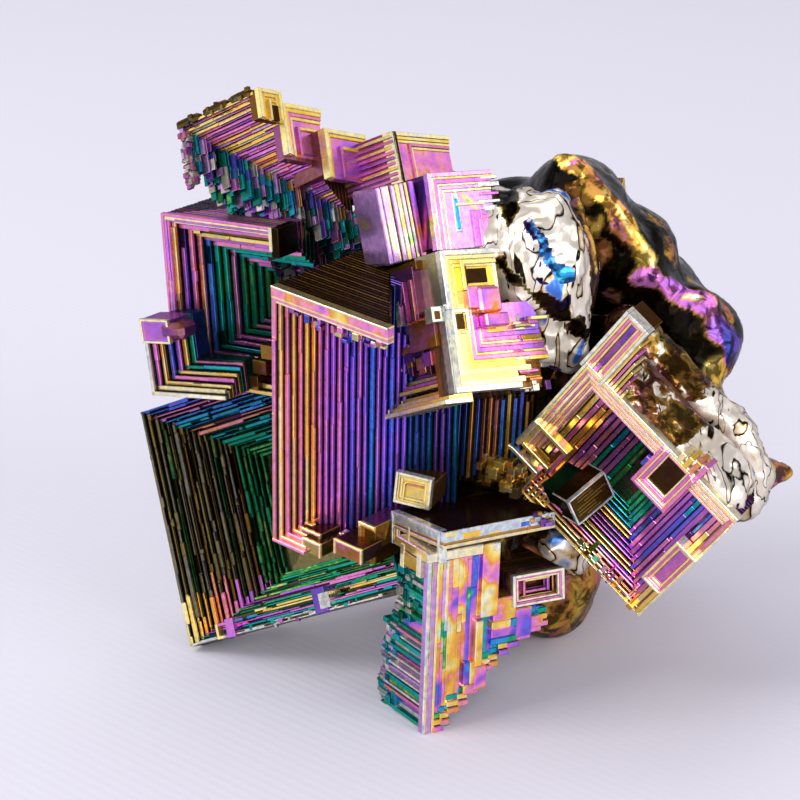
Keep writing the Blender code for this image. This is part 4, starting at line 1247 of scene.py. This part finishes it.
def grow_diamond_hopper():
    """The hopper on the right that stands on one corner."""
    growth = Growth("diamond_hopper_ledges", 61)
    rng = growth.rng
    growth.at(DIAMOND.corner, DIAMOND.turn)
    hopper(growth, DIAMOND.size, 8.6, 16, (11.0, 10.4, 3.6, 8.0), diamond_tone,
           back=(8.0, (3.0, 3.0, 2.0, 3.0)), ragged=0.12, longest=9.0, rib=0.8, gaps=0.03,
           riser=(0.08, 0.85), tread=(0.05, 0.7), coat={"top": (0.24, 0.12), "right": (0.24, 0.6)})
    growth.frames((-0.1, 5.0), (24.1, 20.5),
                  [(0.4, 0.08, 1.1), (0.35, 0.15, 1.1), (0.25, 0.36, 1.05), (0.4, 0.11, 1.1),
                   (0.2, 0.38, 1.05), (0.35, 0.15, 1.1), (0.25, 0.34, 1.05), (0.3, 0.12, 1.1),
                   (0.2, 0.40, 1.05)],
                  sides=TOP_LEFT, sink=0.08, top=-0.2, thick=0.4, drift=0.08)
    growth.frames((14.0, 0.0), (24.2, 18.0), [(0.35, 0.10, 1.1), (0.3, 0.24, 1.0), (0.3, 0.40, 1.05)],
                  sides=("right",), sink=0.12, top=-0.1, thick=0.4, drift=0.1)
    # a long box on the right edge
    growth.frames((21.1, 5.2), (24.2, 12.7), [(0.35, 0.12, 1.1), (0.25, 0.38, 1.0), (0.3, 0.14, 1.05)],
                  floor=(0.40, 0.8, 0.2), sink=0.22, top=-1.0, thick=1.2, drift=0.06)
    # steps that stand out of the top edge, and the long box above it
    for number in range(4):
        growth.bar((14.6 + 0.9 * number, -0.3, 20.2), (15.2 + 0.9 * number, 2.0, 21.6 + 0.3 * number),
                   0.10 + 0.09 * number, 1.0, drift=0.1)
    growth.bar((-0.4, 0.6, 19.8), (2.8, 3.6, 29.2), 0.24, 0.10)
    growth.frames((-0.5, 19.8), (3.0, 29.6),
                  [(0.4, 0.06, 1.1), (0.3, 0.14, 1.1), (0.35, 0.36, 1.05), (0.3, 0.15, 1.05)], sides=ARCH,
                  floor=(0.44, 0.9, 0.3), sink=0.25, top=-0.4, thick=0.5, drift=0.06)
    for number in range(6):
        growth.bar((3.0 + 0.45 * number, 0.3, 20.2), (3.3 + 0.45 * number, 2.4, 27.0 - 1.1 * number),
                   (0.15, 0.36, 0.12)[number % 3], blend(1.0, 0.5, number / 5), drift=0.2)
    # the pink hook in the top right of the pit, and a blue block beside it
    growth.frames((12.5, 14.0), (17.8, 20.2),
                  [(0.4, 0.37, 1.05), (0.25, 0.14, 1.1), (0.4, 0.40, 1.05), (0.25, 0.12, 1.1)],
                  sides=("left", "bottom", "right"), floor=(0.25, 0.05, 0.3), sink=0.22, top=-0.9,
                  thick=1.2, drift=0.08)
    growth.bar((15.0, 0.3, 15.4), (16.2, 1.6, 18.8), 0.40, 0.2, drift=0.3)
    growth.bar((12.0, -0.4, 16.2), (13.4, 1.6, 17.6), 0.56, 0.7, drift=0.25)
    growth.bar((13.6, 0.3, 17.0), (15.2, 1.8, 18.4), 0.44, 0.25, drift=0.25)
    # nested boxes and a comb on the left corner
    growth.spiral((0.1, 5.2), (5.4, 9.6), 0.5,
                  [(0.10, 1.1), (0.14, 1.1), (0.36, 1.0), (0.16, 1.1), (0.12, 1.1), (0.30, 0.4),
                   (0.24, 0.2), (0.24, 0.1)],
                  sink=0.15, top=-0.7, thick=1.6, drift=0.06)
    growth.spiral((-0.4, -0.4), (4.4, 4.4), 0.5,
                  [(0.12, 1.1), (0.08, 1.1), (0.15, 1.1), (0.36, 1.0), (0.14, 1.05), (0.16, 1.0),
                   (0.24, 0.2)],
                  sink=0.15, top=-0.9, thick=1.8, drift=0.06)
    for number in range(9):
        growth.bar((1.4 + 0.72 * number, -0.3 + 0.14 * number, -1.0),
                   (1.8 + 0.72 * number, 2.6, 2.6 - 0.1 * number), rng.choice((0.15, 0.17, 0.12, 0.30)),
                   1.0, drift=0.06)
    # short uneven ends along the lower edge
    across = 13.0
    while across < 23.5:
        wide = rng.uniform(0.25, 0.8)
        growth.bar((across, rng.uniform(-0.4, 0.3), rng.uniform(-0.4, 0.1)),
                   (across + wide, 2.6, rng.uniform(0.3, 1.2)), rng.choice((0.14, 0.34, 0.12, 0.25, 0.38)),
                   rng.uniform(0.3, 1.1), drift=0.15)
        across += wide + rng.uniform(0.1, 0.8)
    # the dark rod that stands out of the pit
    growth.at((12.1, -20.0, 22.9), (3.8, -28.3, 31.8))
    growth.bar((0.1, 0.3, 0.1), (5.6, 3.0, 3.6), 0.24, 0.05, {TOP: (0.0, 0.8)}, 0.1)
    growth.bar((0.6, 2.8, 0.4), (4.8, 6.0, 3.2), 0.84, 0.10)
    growth.frames((0.0, 0.0), (5.7, 3.7), [(0.24, 0.04, 1.1)], sink=0.05, thick=0.5, drift=0.02)
    growth.bar((0.3, 0.12, 0.3), (5.4, 0.6, 3.4), 0.25, 0.07, drift=0.2)
    for number in range(7):
        up = 0.5 + 0.42 * number
        growth.bar((rng.uniform(0.5, 2.5), 0.08, up), (rng.uniform(3.0, 5.2), 0.3, up + 0.14), 0.24, 0.3,
                   drift=0.1)
    for low, high in (((0.0, 0.0, 0.0), (0.2, 3.0, 0.2)), ((0.0, 0.0, 3.5), (0.2, 3.0, 3.7)),
                      ((5.5, 0.0, 3.5), (5.7, 3.0, 3.7))):
        growth.bar(low, high, 0.08, 0.8, drift=0.02)
    return [growth]


def grow_inner_ribs():
    """Amber and blue ribs deep between the tall hopper and the diamond one."""
    growth = Growth("inner_rib_ledges", 65)
    rng = growth.rng
    growth.at((-5.4, -10.5, 25.0), (2.0, 4.0, -28.0))
    for number in range(17):
        across = 0.62 * number
        growth.bar((across, 0.35 * number, rng.uniform(0, 1.0)),
                   (across + 0.4, 7.0, 11.5 - rng.uniform(0, 1.5)),
                   rng.choice((0.23, 0.26, 0.62, 0.30, 0.22, 0.64)), rng.uniform(0.25, 0.8),
                   {RIGHT: (0.0, 0.5)}, 0.2)
        # near-black bars between the ribs: painted shade in the gaps
        growth.bar((across + 0.3, 0.35 * number + 0.5, 0.0), (across + 0.7, 7.0, 11.0), 0.25, 0.06)
    growth.crumbs((6.0, 2.0, 0.0), (11.0, 4.5, 3.0), 40, 1.0, (0.14, 0.24, 0.19), (0.1, 0.9))
    return [growth]


def grow_back_hoppers():
    """Three plain hoppers that nothing shows from the front."""
    growth = Growth("back_hopper_ledges", 71)
    for crystal, deep, levels, margins in BACK_HOPPERS:
        growth.at(crystal.corner, crystal.turn)
        hopper(growth, crystal.size, deep, levels, margins, back_tone, ragged=0.12)
    return [growth]


# ------------------------------------------------------------- molten metal

# Lumps of solidified metal: centre, radii and turn, as in the solid.
LUMPS = [
    ((5, 13, 36), (17, 13, 20), (0, 20, 0)),
    ((-5, 11, 47), (11, 9, 10), (0, -20, 10)),
    ((8, 8, 17), (13, 13, 15), (0, 0, 0)),
    ((-7, 13, 19), (12, 9, 12), (0, 0, 0)),
    ((1, -7.5, 17.5), (6, 8, 5.5), (0, 0, 0)),
    ((1, -3, 51), (8, 8, 8), (0, 0, 0)),
    ((7, -6, 48), (8, 9, 10), (0, 0, 20)),
    ((13, 7, 53.6), (6.6, 9, 6), (0, 20, 0)),
    ((18.5, 8, 47), (7.2, 9, 6.8), (0, 0, 0)),
    ((22.6, 9, 41), (6.4, 9, 6.4), (0, 0, 0)),
    ((27.2, 9, 36), (6.8, 8, 7), (0, 0, 0)),
    ((16.5, 5, 31.5), (9, 11, 9), (0, 0, 0)),
    ((24, 1, 28), (8, 9, 8), (0, 0, 0)),
    ((29.8, -2.5, 27), (5, 5, 5.5), (0, 0, 0)),
    ((32, -2, 21), (4.4, 4.5, 5), (0, 0, 0)),
    ((35.8, -2.5, 23), (3.8, 2.4, 2.3), (0, 0, 0)),
    ((10.3, 3, 8.5), (7, 7.6, 9), (0, 0, 0)),
    ((8, 8, 3), (6, 7, 4.5), (0, 0, 0)),
]
# Ropes of metal that ran down over the lumps: points and radius along each.
FLOWS = [
    ([(5.8, -5, 58.2), (6.2, -9.0, 57.0), (6.9, -12.6, 54.2), (7.4, -14.0, 51.5), (8.7, -14.5, 49.1),
      (11.4, -13.4, 46.0), (13.2, -10.5, 42.6)], 1.25),
    ([(1.0, -6, 57.4), (1.3, -8.8, 56.2), (1.5, -10.4, 53.5), (2.0, -11.5, 51.0)], 1.7),
    ([(4.2, -9.5, 57.0), (4.7, -11.0, 55.0), (5.1, -13.6, 50.7), (4.5, -13.6, 47.5)], 1.3),
    ([(9.6, -8.0, 57.6), (10.1, -10.0, 55.8), (11.1, -12.0, 53.1), (11.3, -13.0, 49.6)], 2.1),
    ([(12.3, -3.5, 57.0), (13.2, -7.5, 54.0), (13.8, -9.0, 50.0), (14.4, -8.8, 46.5)], 1.0),
    ([(11.0, 4.8, 59.3), (12.5, 4.0, 59.0), (14.1, 1.4, 58.0), (15.8, 0.2, 56.0), (17.6, 0.9, 53.4),
      (19.5, 1.3, 50.9), (20.6, 0.6, 49.4)], 1.6),
    ([(21.9, 0.4, 46.4), (24.5, 2.2, 44.3), (27.1, 3.6, 43.0), (29.7, 5.3, 41.3)], 1.7),
    ([(15.6, -16.2, 39.8), (20.7, -18.6, 35.1), (24.8, -20.7, 31.2), (29.3, -22.9, 27.0)], 2.5),
    ([(17.6, -14.0, 39.8), (22.0, -16.4, 35.6), (27.0, -19.0, 31.2), (30.6, -20.6, 27.6)], 2.7),
    ([(18.5, -4.0, 41.0), (22.5, -4.5, 37.0), (26.0, -6.5, 33.5)], 3.6),
    ([(26.5, -8.0, 33.5), (31.0, -8.0, 29.5), (33.0, -7.5, 24.5), (32.0, -8.0, 20.5)], 3.2),
    ([(32.5, -6.0, 24.0), (35.0, -4.5, 23.8), (37.0, -3.4, 23.8)], 1.8),
    ([(11.0, -6.5, 15.5), (13.5, -5.5, 13.0)], 3.0),
    ([(8.0, -13.0, 41.5), (12.0, -11.0, 40.0)], 2.6),
]
# Pits that the molten metal keeps out of: the hopper, the pit's depth, margins.
PITS = [
    (LOWER_LEFT, 10.0, (10.0, 5.0, 6.4, 8.2)),
    (UPPER_LEFT, 9.6, (9.6, 3.0, 7.8, 8.4)),
    (RIBBED, 15.0, (15.0, 0.0, 0.0, 8.7)),
    (DIAMOND, 9.0, (8.0, 8.0, 2.4, 5.6)),
] + [(crystal, deep, margins) for crystal, deep, _, margins in BACK_HOPPERS]
# How much wider than the pit the space kept clear is, and how far it reaches
# out in front.
PIT_CLEARANCE = 0.35
PIT_APPROACH = 4.0
# The grain at which the lumps are fused, and that of the finished mesh.
FUSE_VOXEL = 0.7
LUMP_VOXEL = 0.42
# Beads along a flow lie this share of its radius apart.
BEAD_SPACING = 0.4


def pit_plug(points, faces, pit):
    """Adds the tapered space of a pit, a little larger than the pit."""
    crystal, deep, margins = pit
    matrix = placement(crystal.corner, crystal.turn)
    width, _, height = crystal.size
    start = len(points)
    for depth, share in ((-PIT_APPROACH, 0.0), (0.0, 0.0), (deep + PIT_CLEARANCE, 1.0)):
        left, right, bottom, top = [margin * share for margin in margins]
        low = (left - PIT_CLEARANCE, bottom - PIT_CLEARANCE)
        high = (width - right + PIT_CLEARANCE, height - top + PIT_CLEARANCE)
        for across, up in (low, (high[0], low[1]), high, (low[0], high[1])):
            points.append(matrix @ Vector((across, depth, up)))
    sides = [(0, 3, 2, 1), (8, 9, 10, 11)]
    for ring in (0, 4):
        for k in range(4):
            after = (k + 1) % 4
            sides.append((ring + k, ring + after, ring + 4 + after, ring + 4 + k))
    faces.extend(tuple(start + index for index in side) for side in sides)


def apply_modifiers(obj):
    graph = bpy.context.evaluated_depsgraph_get()
    mesh = bpy.data.meshes.new_from_object(obj.evaluated_get(graph))
    obj.modifiers.clear()
    obj.data = mesh


def molten_metal(material):
    """The lump that carries the crystals, wrinkled where it cooled last."""
    bm = bmesh.new()
    for centre, radii, turn in LUMPS:
        matrix = placement(centre, turn) @ Matrix.Diagonal((*radii, 1.0))
        bmesh.ops.create_icosphere(bm, subdivisions=4, radius=1.0, matrix=matrix)
    for points, radius in FLOWS:
        for start, end in zip(points, points[1:]):
            beads = max(2, round((Vector(end) - Vector(start)).length / (radius * BEAD_SPACING)))
            for bead in range(beads):
                middle = Vector(start).lerp(Vector(end), bead / beads)
                matrix = placement(middle, (0, 0, 0)) @ Matrix.Scale(radius, 4)
                bmesh.ops.create_icosphere(bm, subdivisions=2, radius=1.0, matrix=matrix)
    mesh = bpy.data.meshes.new("molten_metal")
    bm.to_mesh(mesh)
    bm.free()
    obj = in_scene("molten_metal", mesh)
    remesh = obj.modifiers.new("Fuse the lumps", "REMESH")
    remesh.mode = "VOXEL"
    remesh.voxel_size = FUSE_VOXEL * MM
    smooth = obj.modifiers.new("Flow together", "SMOOTH")
    smooth.iterations = 6
    smooth.factor = 0.6
    points, faces = [], []
    for pit in PITS:
        pit_plug(points, faces, pit)
    plugs = mesh_object("pit_plugs", points, faces)
    carve = obj.modifiers.new("Keep the pits open", "BOOLEAN")
    carve.operation = "DIFFERENCE"
    carve.object = plugs
    carve.use_self = True
    fine = obj.modifiers.new("Even mesh", "REMESH")
    fine.mode = "VOXEL"
    fine.voxel_size = LUMP_VOXEL * MM
    apply_modifiers(obj)
    bpy.data.objects.remove(plugs)
    wrinkle(obj.data)
    obj.data.materials.clear()
    obj.data.materials.append(material)
    for polygon in obj.data.polygons:
        polygon.use_smooth = True
    return obj


# How the skins share the surface: SKIN_WIDTH is the reach that neither gains
# nor loses by it, SKIN_FALL how fast a skin gives way away from its line and
# SKIN_EDGE how sharp the border is.
SKIN_WIDTH, SKIN_FALL, SKIN_EDGE = 10, 6, 3.0
# The borders wander by up to 0.9 mm, and turn every 2 mm or so.
BORDER_WANDER, BORDER_TURNS = 0.9, 0.45
# Without a seed of its own, noise_vector would be offset by the clock.
BORDER_SEED = 5
# Where the molten metal's skin differs: the line it follows, its reach, film,
# shade and share of plates. A narrow one wins over a wide one.
SKINS = [
    ([(7, -8, 50)], 9.0, 0.06, 0.9, 1.0),
    ([(3, -10, 54), (5, -13, 48)], 6.0, 0.05, 1.0, 1.0),
    ([(10.5, -11, 53.5), (11.4, -13, 48)], 3.0, 0.05, 1.0, 1.0),
    ([(3.8, -6.0, 58.0), (4.0, -9.8, 57.4), (4.1, -10.8, 55.7)], 1.3, 0.24, 0.008, 0.0),
    ([(3.4, -12.8, 51.8), (4.5, -14.2, 49.9), (5.4, -14.4, 48.6)], 1.0, 0.24, 0.008, 0.0),
    ([(6.7, -14.6, 48.4), (8.9, -14.8, 47.5), (10.1, -14.4, 46.3)], 1.2, 0.24, 0.012, 0.2),
    ([(11.5, -13.6, 44.7), (12.8, -12.1, 43.0)], 0.9, 0.24, 0.02, 0.2),
    ([(6.0, -11.6, 56.0), (6.6, -13.2, 53.6), (7.6, -14.9, 50.5), (10.3, -14.6, 47.2)], 0.5, 0.58, 0.05, 0.1),
    ([(6.4, -10.3, 56.8), (7.1, -12.6, 54.7), (8.1, -13.8, 52.7)], 0.65, 0.66, 0.9, 0.36),
    ([(8.6, -13.7, 52.2), (9.4, -13.7, 51.6), (10.5, -14.2, 50.3)], 1.0, 0.64, 0.9, 0.30),
    ([(13.0, -5.5, 56), (14.4, -9.0, 50), (15, -7, 44)], 2.4, 0.26, 0.10, 0.0),
    ([(12.6, -4, 57), (13.4, -8, 54), (14.2, -10, 50)], 0.8, 0.15, 0.8, 0.0),
    ([(8, -13, 42), (12, -9, 38)], 4.0, 0.08, 0.8, 0.9),
    ([(8.5, -12.5, 39.5), (12, -9, 38.5)], 2.6, 0.46, 0.5, 0.3),
    ([(9, 6, 60), (16, 4, 57.5), (21, 3, 52), (25, 5, 47), (31, 6, 41)], 9.0, 0.20, 0.006, 0.0),
    ([(14, 4, 46), (20, 3, 42)], 6.0, 0.24, 0.008, 0.0),
    # painted highlights: the gold, pink and cream strips along the black lump's ridge, and the violet and
    # white strips further down, stand in for mirrored softboxes
    ([(10.6, 4.6, 60.2), (11.3, 3.7, 59.8), (12.4, 2.3, 59.3), (14.1, 1.5, 58.9)], 1.3, 0.20, 1.2, 0.0),
    ([(14.1, 1.5, 58.9), (15.2, 0.2, 57.4), (16.3, -0.6, 55.8), (18.5, -0.3, 52.8), (20.0, 0.0, 50.6),
      (21.0, 0.3, 49.0)], 1.7, 0.235, 1.2, 0.0),
    ([(12.4, 2.3, 59.3), (14.1, 1.5, 58.9), (15.2, 0.2, 57.4)], 0.7, 0.36, 1.2, 0.0),
    ([(15.8, -0.2, 56.6), (17.4, -0.4, 54.4), (19.0, -0.2, 52.0)], 0.7, 0.08, 1.2, 0.0),
    ([(20.8, -0.3, 46.8), (21.3, -0.3, 46.2), (23.1, 0.3, 45.2), (25.0, 1.3, 44.3), (26.9, 2.3, 43.2),
      (28.9, 3.2, 42.3)], 1.9, 0.44, 1.2, 0.0),
    ([(22.3, 0.0, 45.8), (25.0, 1.3, 44.4), (27.5, 2.6, 43.0)], 0.8, 0.02, 1.2, 0.0),
    ([(18, 7, 59), (21.4, 6, 55.6), (24.0, 6, 51.6)], 1.7, 0.24, 0.6, 0.3),
    ([(24.1, 3.4, 49.4), (28, 5.5, 45.5), (33, 6, 40.5)], 1.6, 0.25, 0.5, 0.2),
    ([(31, 2.5, 40), (32.5, 4, 36)], 3.4, 0.54, 0.6, 0.0),
    ([(30.5, 0, 35), (32, 4, 32)], 3.4, 0.24, 0.7, 0.1),
    ([(21.5, 0.8, 43.4), (24.0, 1.0, 38.5), (28.5, 0.5, 36.6)], 3.4, 0.24, 0.006, 0.0),
    ([(12.5, 0, 57), (14, -1, 53), (15.5, 0, 49)], 1.2, 0.24, 0.3, 0.2),
    ([(13.4, 1, 50), (16.5, 1, 46), (17, 1, 42)], 1.0, 0.24, 0.35, 0.2),
    ([(19.8, 1.1, 39.7), (23.3, -0.6, 35.8), (26.0, -3.9, 34.4)], 2.8, 0.26, 0.28, 0.34),
    ([(16, -16, 41), (20, -18, 37.5), (23, -19.5, 34.5)], 4.0, 0.26, 0.28, 0.37),
    ([(18.5, -6, 42), (24, -7, 37)], 4.5, 0.26, 0.24, 0.34),
    ([(25.5, -21, 32), (29, -22, 28.5)], 4.0, 0.06, 0.9, 1.0),
    ([(27, -7, 31.5), (30, -7, 27.5)], 4.5, 0.07, 0.9, 1.0),
    ([(31.9, -7, 25.5), (32.5, -7, 20)], 4.0, 0.10, 0.9, 0.9),
    ([(31.5, -7.4, 24.4), (32.6, -7.2, 21.5)], 0.9, 0.60, 0.8, 0.0),
    ([(37.5, -3, 23.8)], 2.6, 0.26, 0.6, 0.1),
    ([(11, -3, 8), (14, -2, 5)], 8.0, 0.25, 0.50, 0.0),
    ([(12, -8, 14.5)], 3.4, 0.06, 1.0, 1.0),
    ([(0, -8, 16), (-2, -8, 24)], 8.0, 0.24, 0.10, 0.0),
    ([(2, -4, 30)], 10.0, 0.24, 0.14, 0.0),
    ([(-8, 8, 50)], 10.0, 0.24, 0.12, 0.1),
    ([(6, 26, 36)], 14.0, 0.22, 0.45, 0.35),
    ([(10, 22, 14)], 12.0, 0.26, 0.45, 0.15),
    ([(-8, 22, 30)], 10.0, 0.40, 0.35, 0.1),
]


def distance_to_line(places, points):
    """How far each place is from a line of points."""
    points = [np.array(point, float) for point in points]
    if len(points) == 1:
        return np.linalg.norm(places - points[0], axis=1)
    best = np.full(len(places), np.inf)
    for start, end in zip(points, points[1:]):
        along = end - start
        share = np.clip((places - start) @ along / (along @ along), 0.0, 1.0)
        best = np.minimum(best, np.linalg.norm(places - start - share[:, None] * along, axis=1))
    return best


def vectors_of(vertices, name):
    """One row of three numbers for each vertex."""
    numbers = np.empty(3 * len(vertices))
    vertices.foreach_get(name, numbers)
    return numbers.reshape(-1, 3)


def wrinkle(mesh):
    """Raises flow folds and plates on the skin and notes what covers it where."""
    points, normals = vectors_of(mesh.vertices, "co"), vectors_of(mesh.vertices, "normal")
    here = points / MM - np.array(CENTRING)
    noise.seed_set(BORDER_SEED)
    lost = np.array([noise.noise_vector(Vector(point) * BORDER_TURNS) for point in here]) * BORDER_WANDER
    scores = np.array([
        2 * math.log(SKIN_WIDTH / reach)
        - SKIN_FALL * (distance_to_line(here + lost, line) / reach) ** 2
        for line, reach, *_ in SKINS
    ])
    weights = np.exp(SKIN_EDGE * (scores - scores.max(axis=0)))
    film, shade, plates = np.array([skin[2:] for skin in SKINS]).T @ weights / weights.sum(axis=0)
    lift = np.empty(len(points))
    for index, point in enumerate(here):
        p = Vector(point)
        # folds about 5 mm apart, longer down than across
        fold = noise.noise(Vector((p.x * 0.22, p.y * 0.22, p.z * 0.16)) + Vector((3.1, 0, 0)))
        # plates step up by fifths of a finer swell
        torn = noise.fractal(p * 0.42, 0.8, 2.0, 3)
        plate = math.floor(torn * 5.0) / 5.0
        # creases, deepest where the skin is partly torn
        crease = max(0.0, 1 - abs(noise.noise(p * 0.5 + Vector((0, 7.3, 0)))) / 0.10)
        creased = 4 * plates[index] * (1 - plates[index])
        lift[index] = (
            -0.3 * crease * (0.25 + creased) + 0.5 * fold - 0.35
            + plates[index] * (0.3 * plate) + 0.08 * torn
        )
    points += normals * (lift * MM)[:, None]
    # what reaches the ground stands flat on it
    points[:, 2] = np.maximum(points[:, 2], 0.0)
    mesh.vertices.foreach_set("co", points.ravel())
    note_on(mesh, "POINT", film=film, shade=shade, plates=plates)
    mesh.update()


# ------------------------------------------------------------------- stage

# Half the width of the cloth that the cluster stands on, in metres.
CLOTH_HALF = 3
SKY = [(0.0, "#F2F0FA"), (0.35, "#ECEAF4"), (0.60, "#94929E"), (1.0, "#4A4952")]
SKY_STRENGTH = 1.20


def build_stage():
    """A wide white cloth for a floor, and a sky that is pale low down and grey above."""
    points = [(x * CLOTH_HALF, y * CLOTH_HALF, 0) for x, y in ((-1, -1), (1, -1), (1, 1), (-1, 1))]
    floor = mesh_object("floor_cloth", points, [(0, 1, 2, 3)])
    floor.data.materials.append(backdrop_cloth())
    bpy.context.scene.view_settings.view_transform = "Standard"
    world = bpy.data.worlds.new("Pale studio")
    bpy.context.scene.world = world
    world.use_nodes = True
    tree = world.node_tree
    tree.nodes.clear()
    place = add_node(tree, "ShaderNodeTexCoord").outputs["Generated"]
    split = add_node(tree, "ShaderNodeSeparateXYZ", Vector=place)
    sky = add_node(tree, "ShaderNodeValToRGB", {"stops": SKY}, Fac=split.outputs["Z"])
    glow = add_node(tree, "ShaderNodeBackground", {"Strength": SKY_STRENGTH}, Color=sky.outputs["Color"])
    add_node(tree, "ShaderNodeOutputWorld", Surface=glow.outputs[0])


# The softboxes: place and size in metres, power in watts. All look at LIT_PLACE.
SOFTBOXES = [
    ("Left softbox", (-0.99, -0.33, 0.92), (0.77, 0.77), 8.2),
    ("Top softbox", (-0.25, 0.50, 1.25), (1.50, 0.80), 6.8),
    ("Right softbox", (1.00, -0.84, 0.42), (0.84, 0.70), 7.2),
    ("Front fill", (-0.20, -1.40, 0.60), (0.80, 0.50), 6.8),
]
LIT_PLACE = (0.0, 0.0, 0.035)


def build_lights():
    for name, place, size, power in SOFTBOXES:
        light = bpy.data.lights.new(name, "AREA")
        light.shape = "RECTANGLE"
        light.size, light.size_y = size
        light.energy = power
        obj = in_scene(name, light)
        obj.location = place
        obj.rotation_euler = (Vector(LIT_PLACE) - Vector(place)).to_track_quat("-Z", "Y").to_euler()


CAMERA_LENS, CAMERA_SENSOR = 110.0, 36.0
CAMERA_TARGET = Vector((-8.0, 0.0, 31.3)) + CENTRING
CAMERA_DISTANCE = 291.0
CAMERA_RISE = 18.0
# Nothing nearer than this, in metres, is in the way.
CAMERA_CLIP = 0.01


def build_camera():
    data = bpy.data.cameras.new("Camera")
    data.lens = CAMERA_LENS
    data.sensor_width = CAMERA_SENSOR
    data.clip_start = CAMERA_CLIP
    camera = in_scene("Camera", data)
    rise = math.radians(CAMERA_RISE)
    away = Vector((0.0, -math.cos(rise), math.sin(rise)))
    camera.location = (CAMERA_TARGET + away * CAMERA_DISTANCE) * MM
    camera.rotation_euler = (math.radians(90) - rise, 0.0, 0.0)
    bpy.context.scene.camera = camera


def finish_piece(obj):
    """Ties a piece to the solid that it shows."""
    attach(obj, "root")
    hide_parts(NODE)


def build():
    ledge_metal = oxidised_bismuth()
    skin = solidified_bismuth()
    for grow in (grow_left_group, grow_ribbed_hopper, grow_arm, grow_front_blocks, grow_leg,
                 grow_diamond_hopper, grow_inner_ribs, grow_back_hoppers):
        for growth in grow():
            finish_piece(growth.piece(ledge_metal))
    finish_piece(molten_metal(skin))
    build_stage()
    build_lights()
    build_camera()


build()
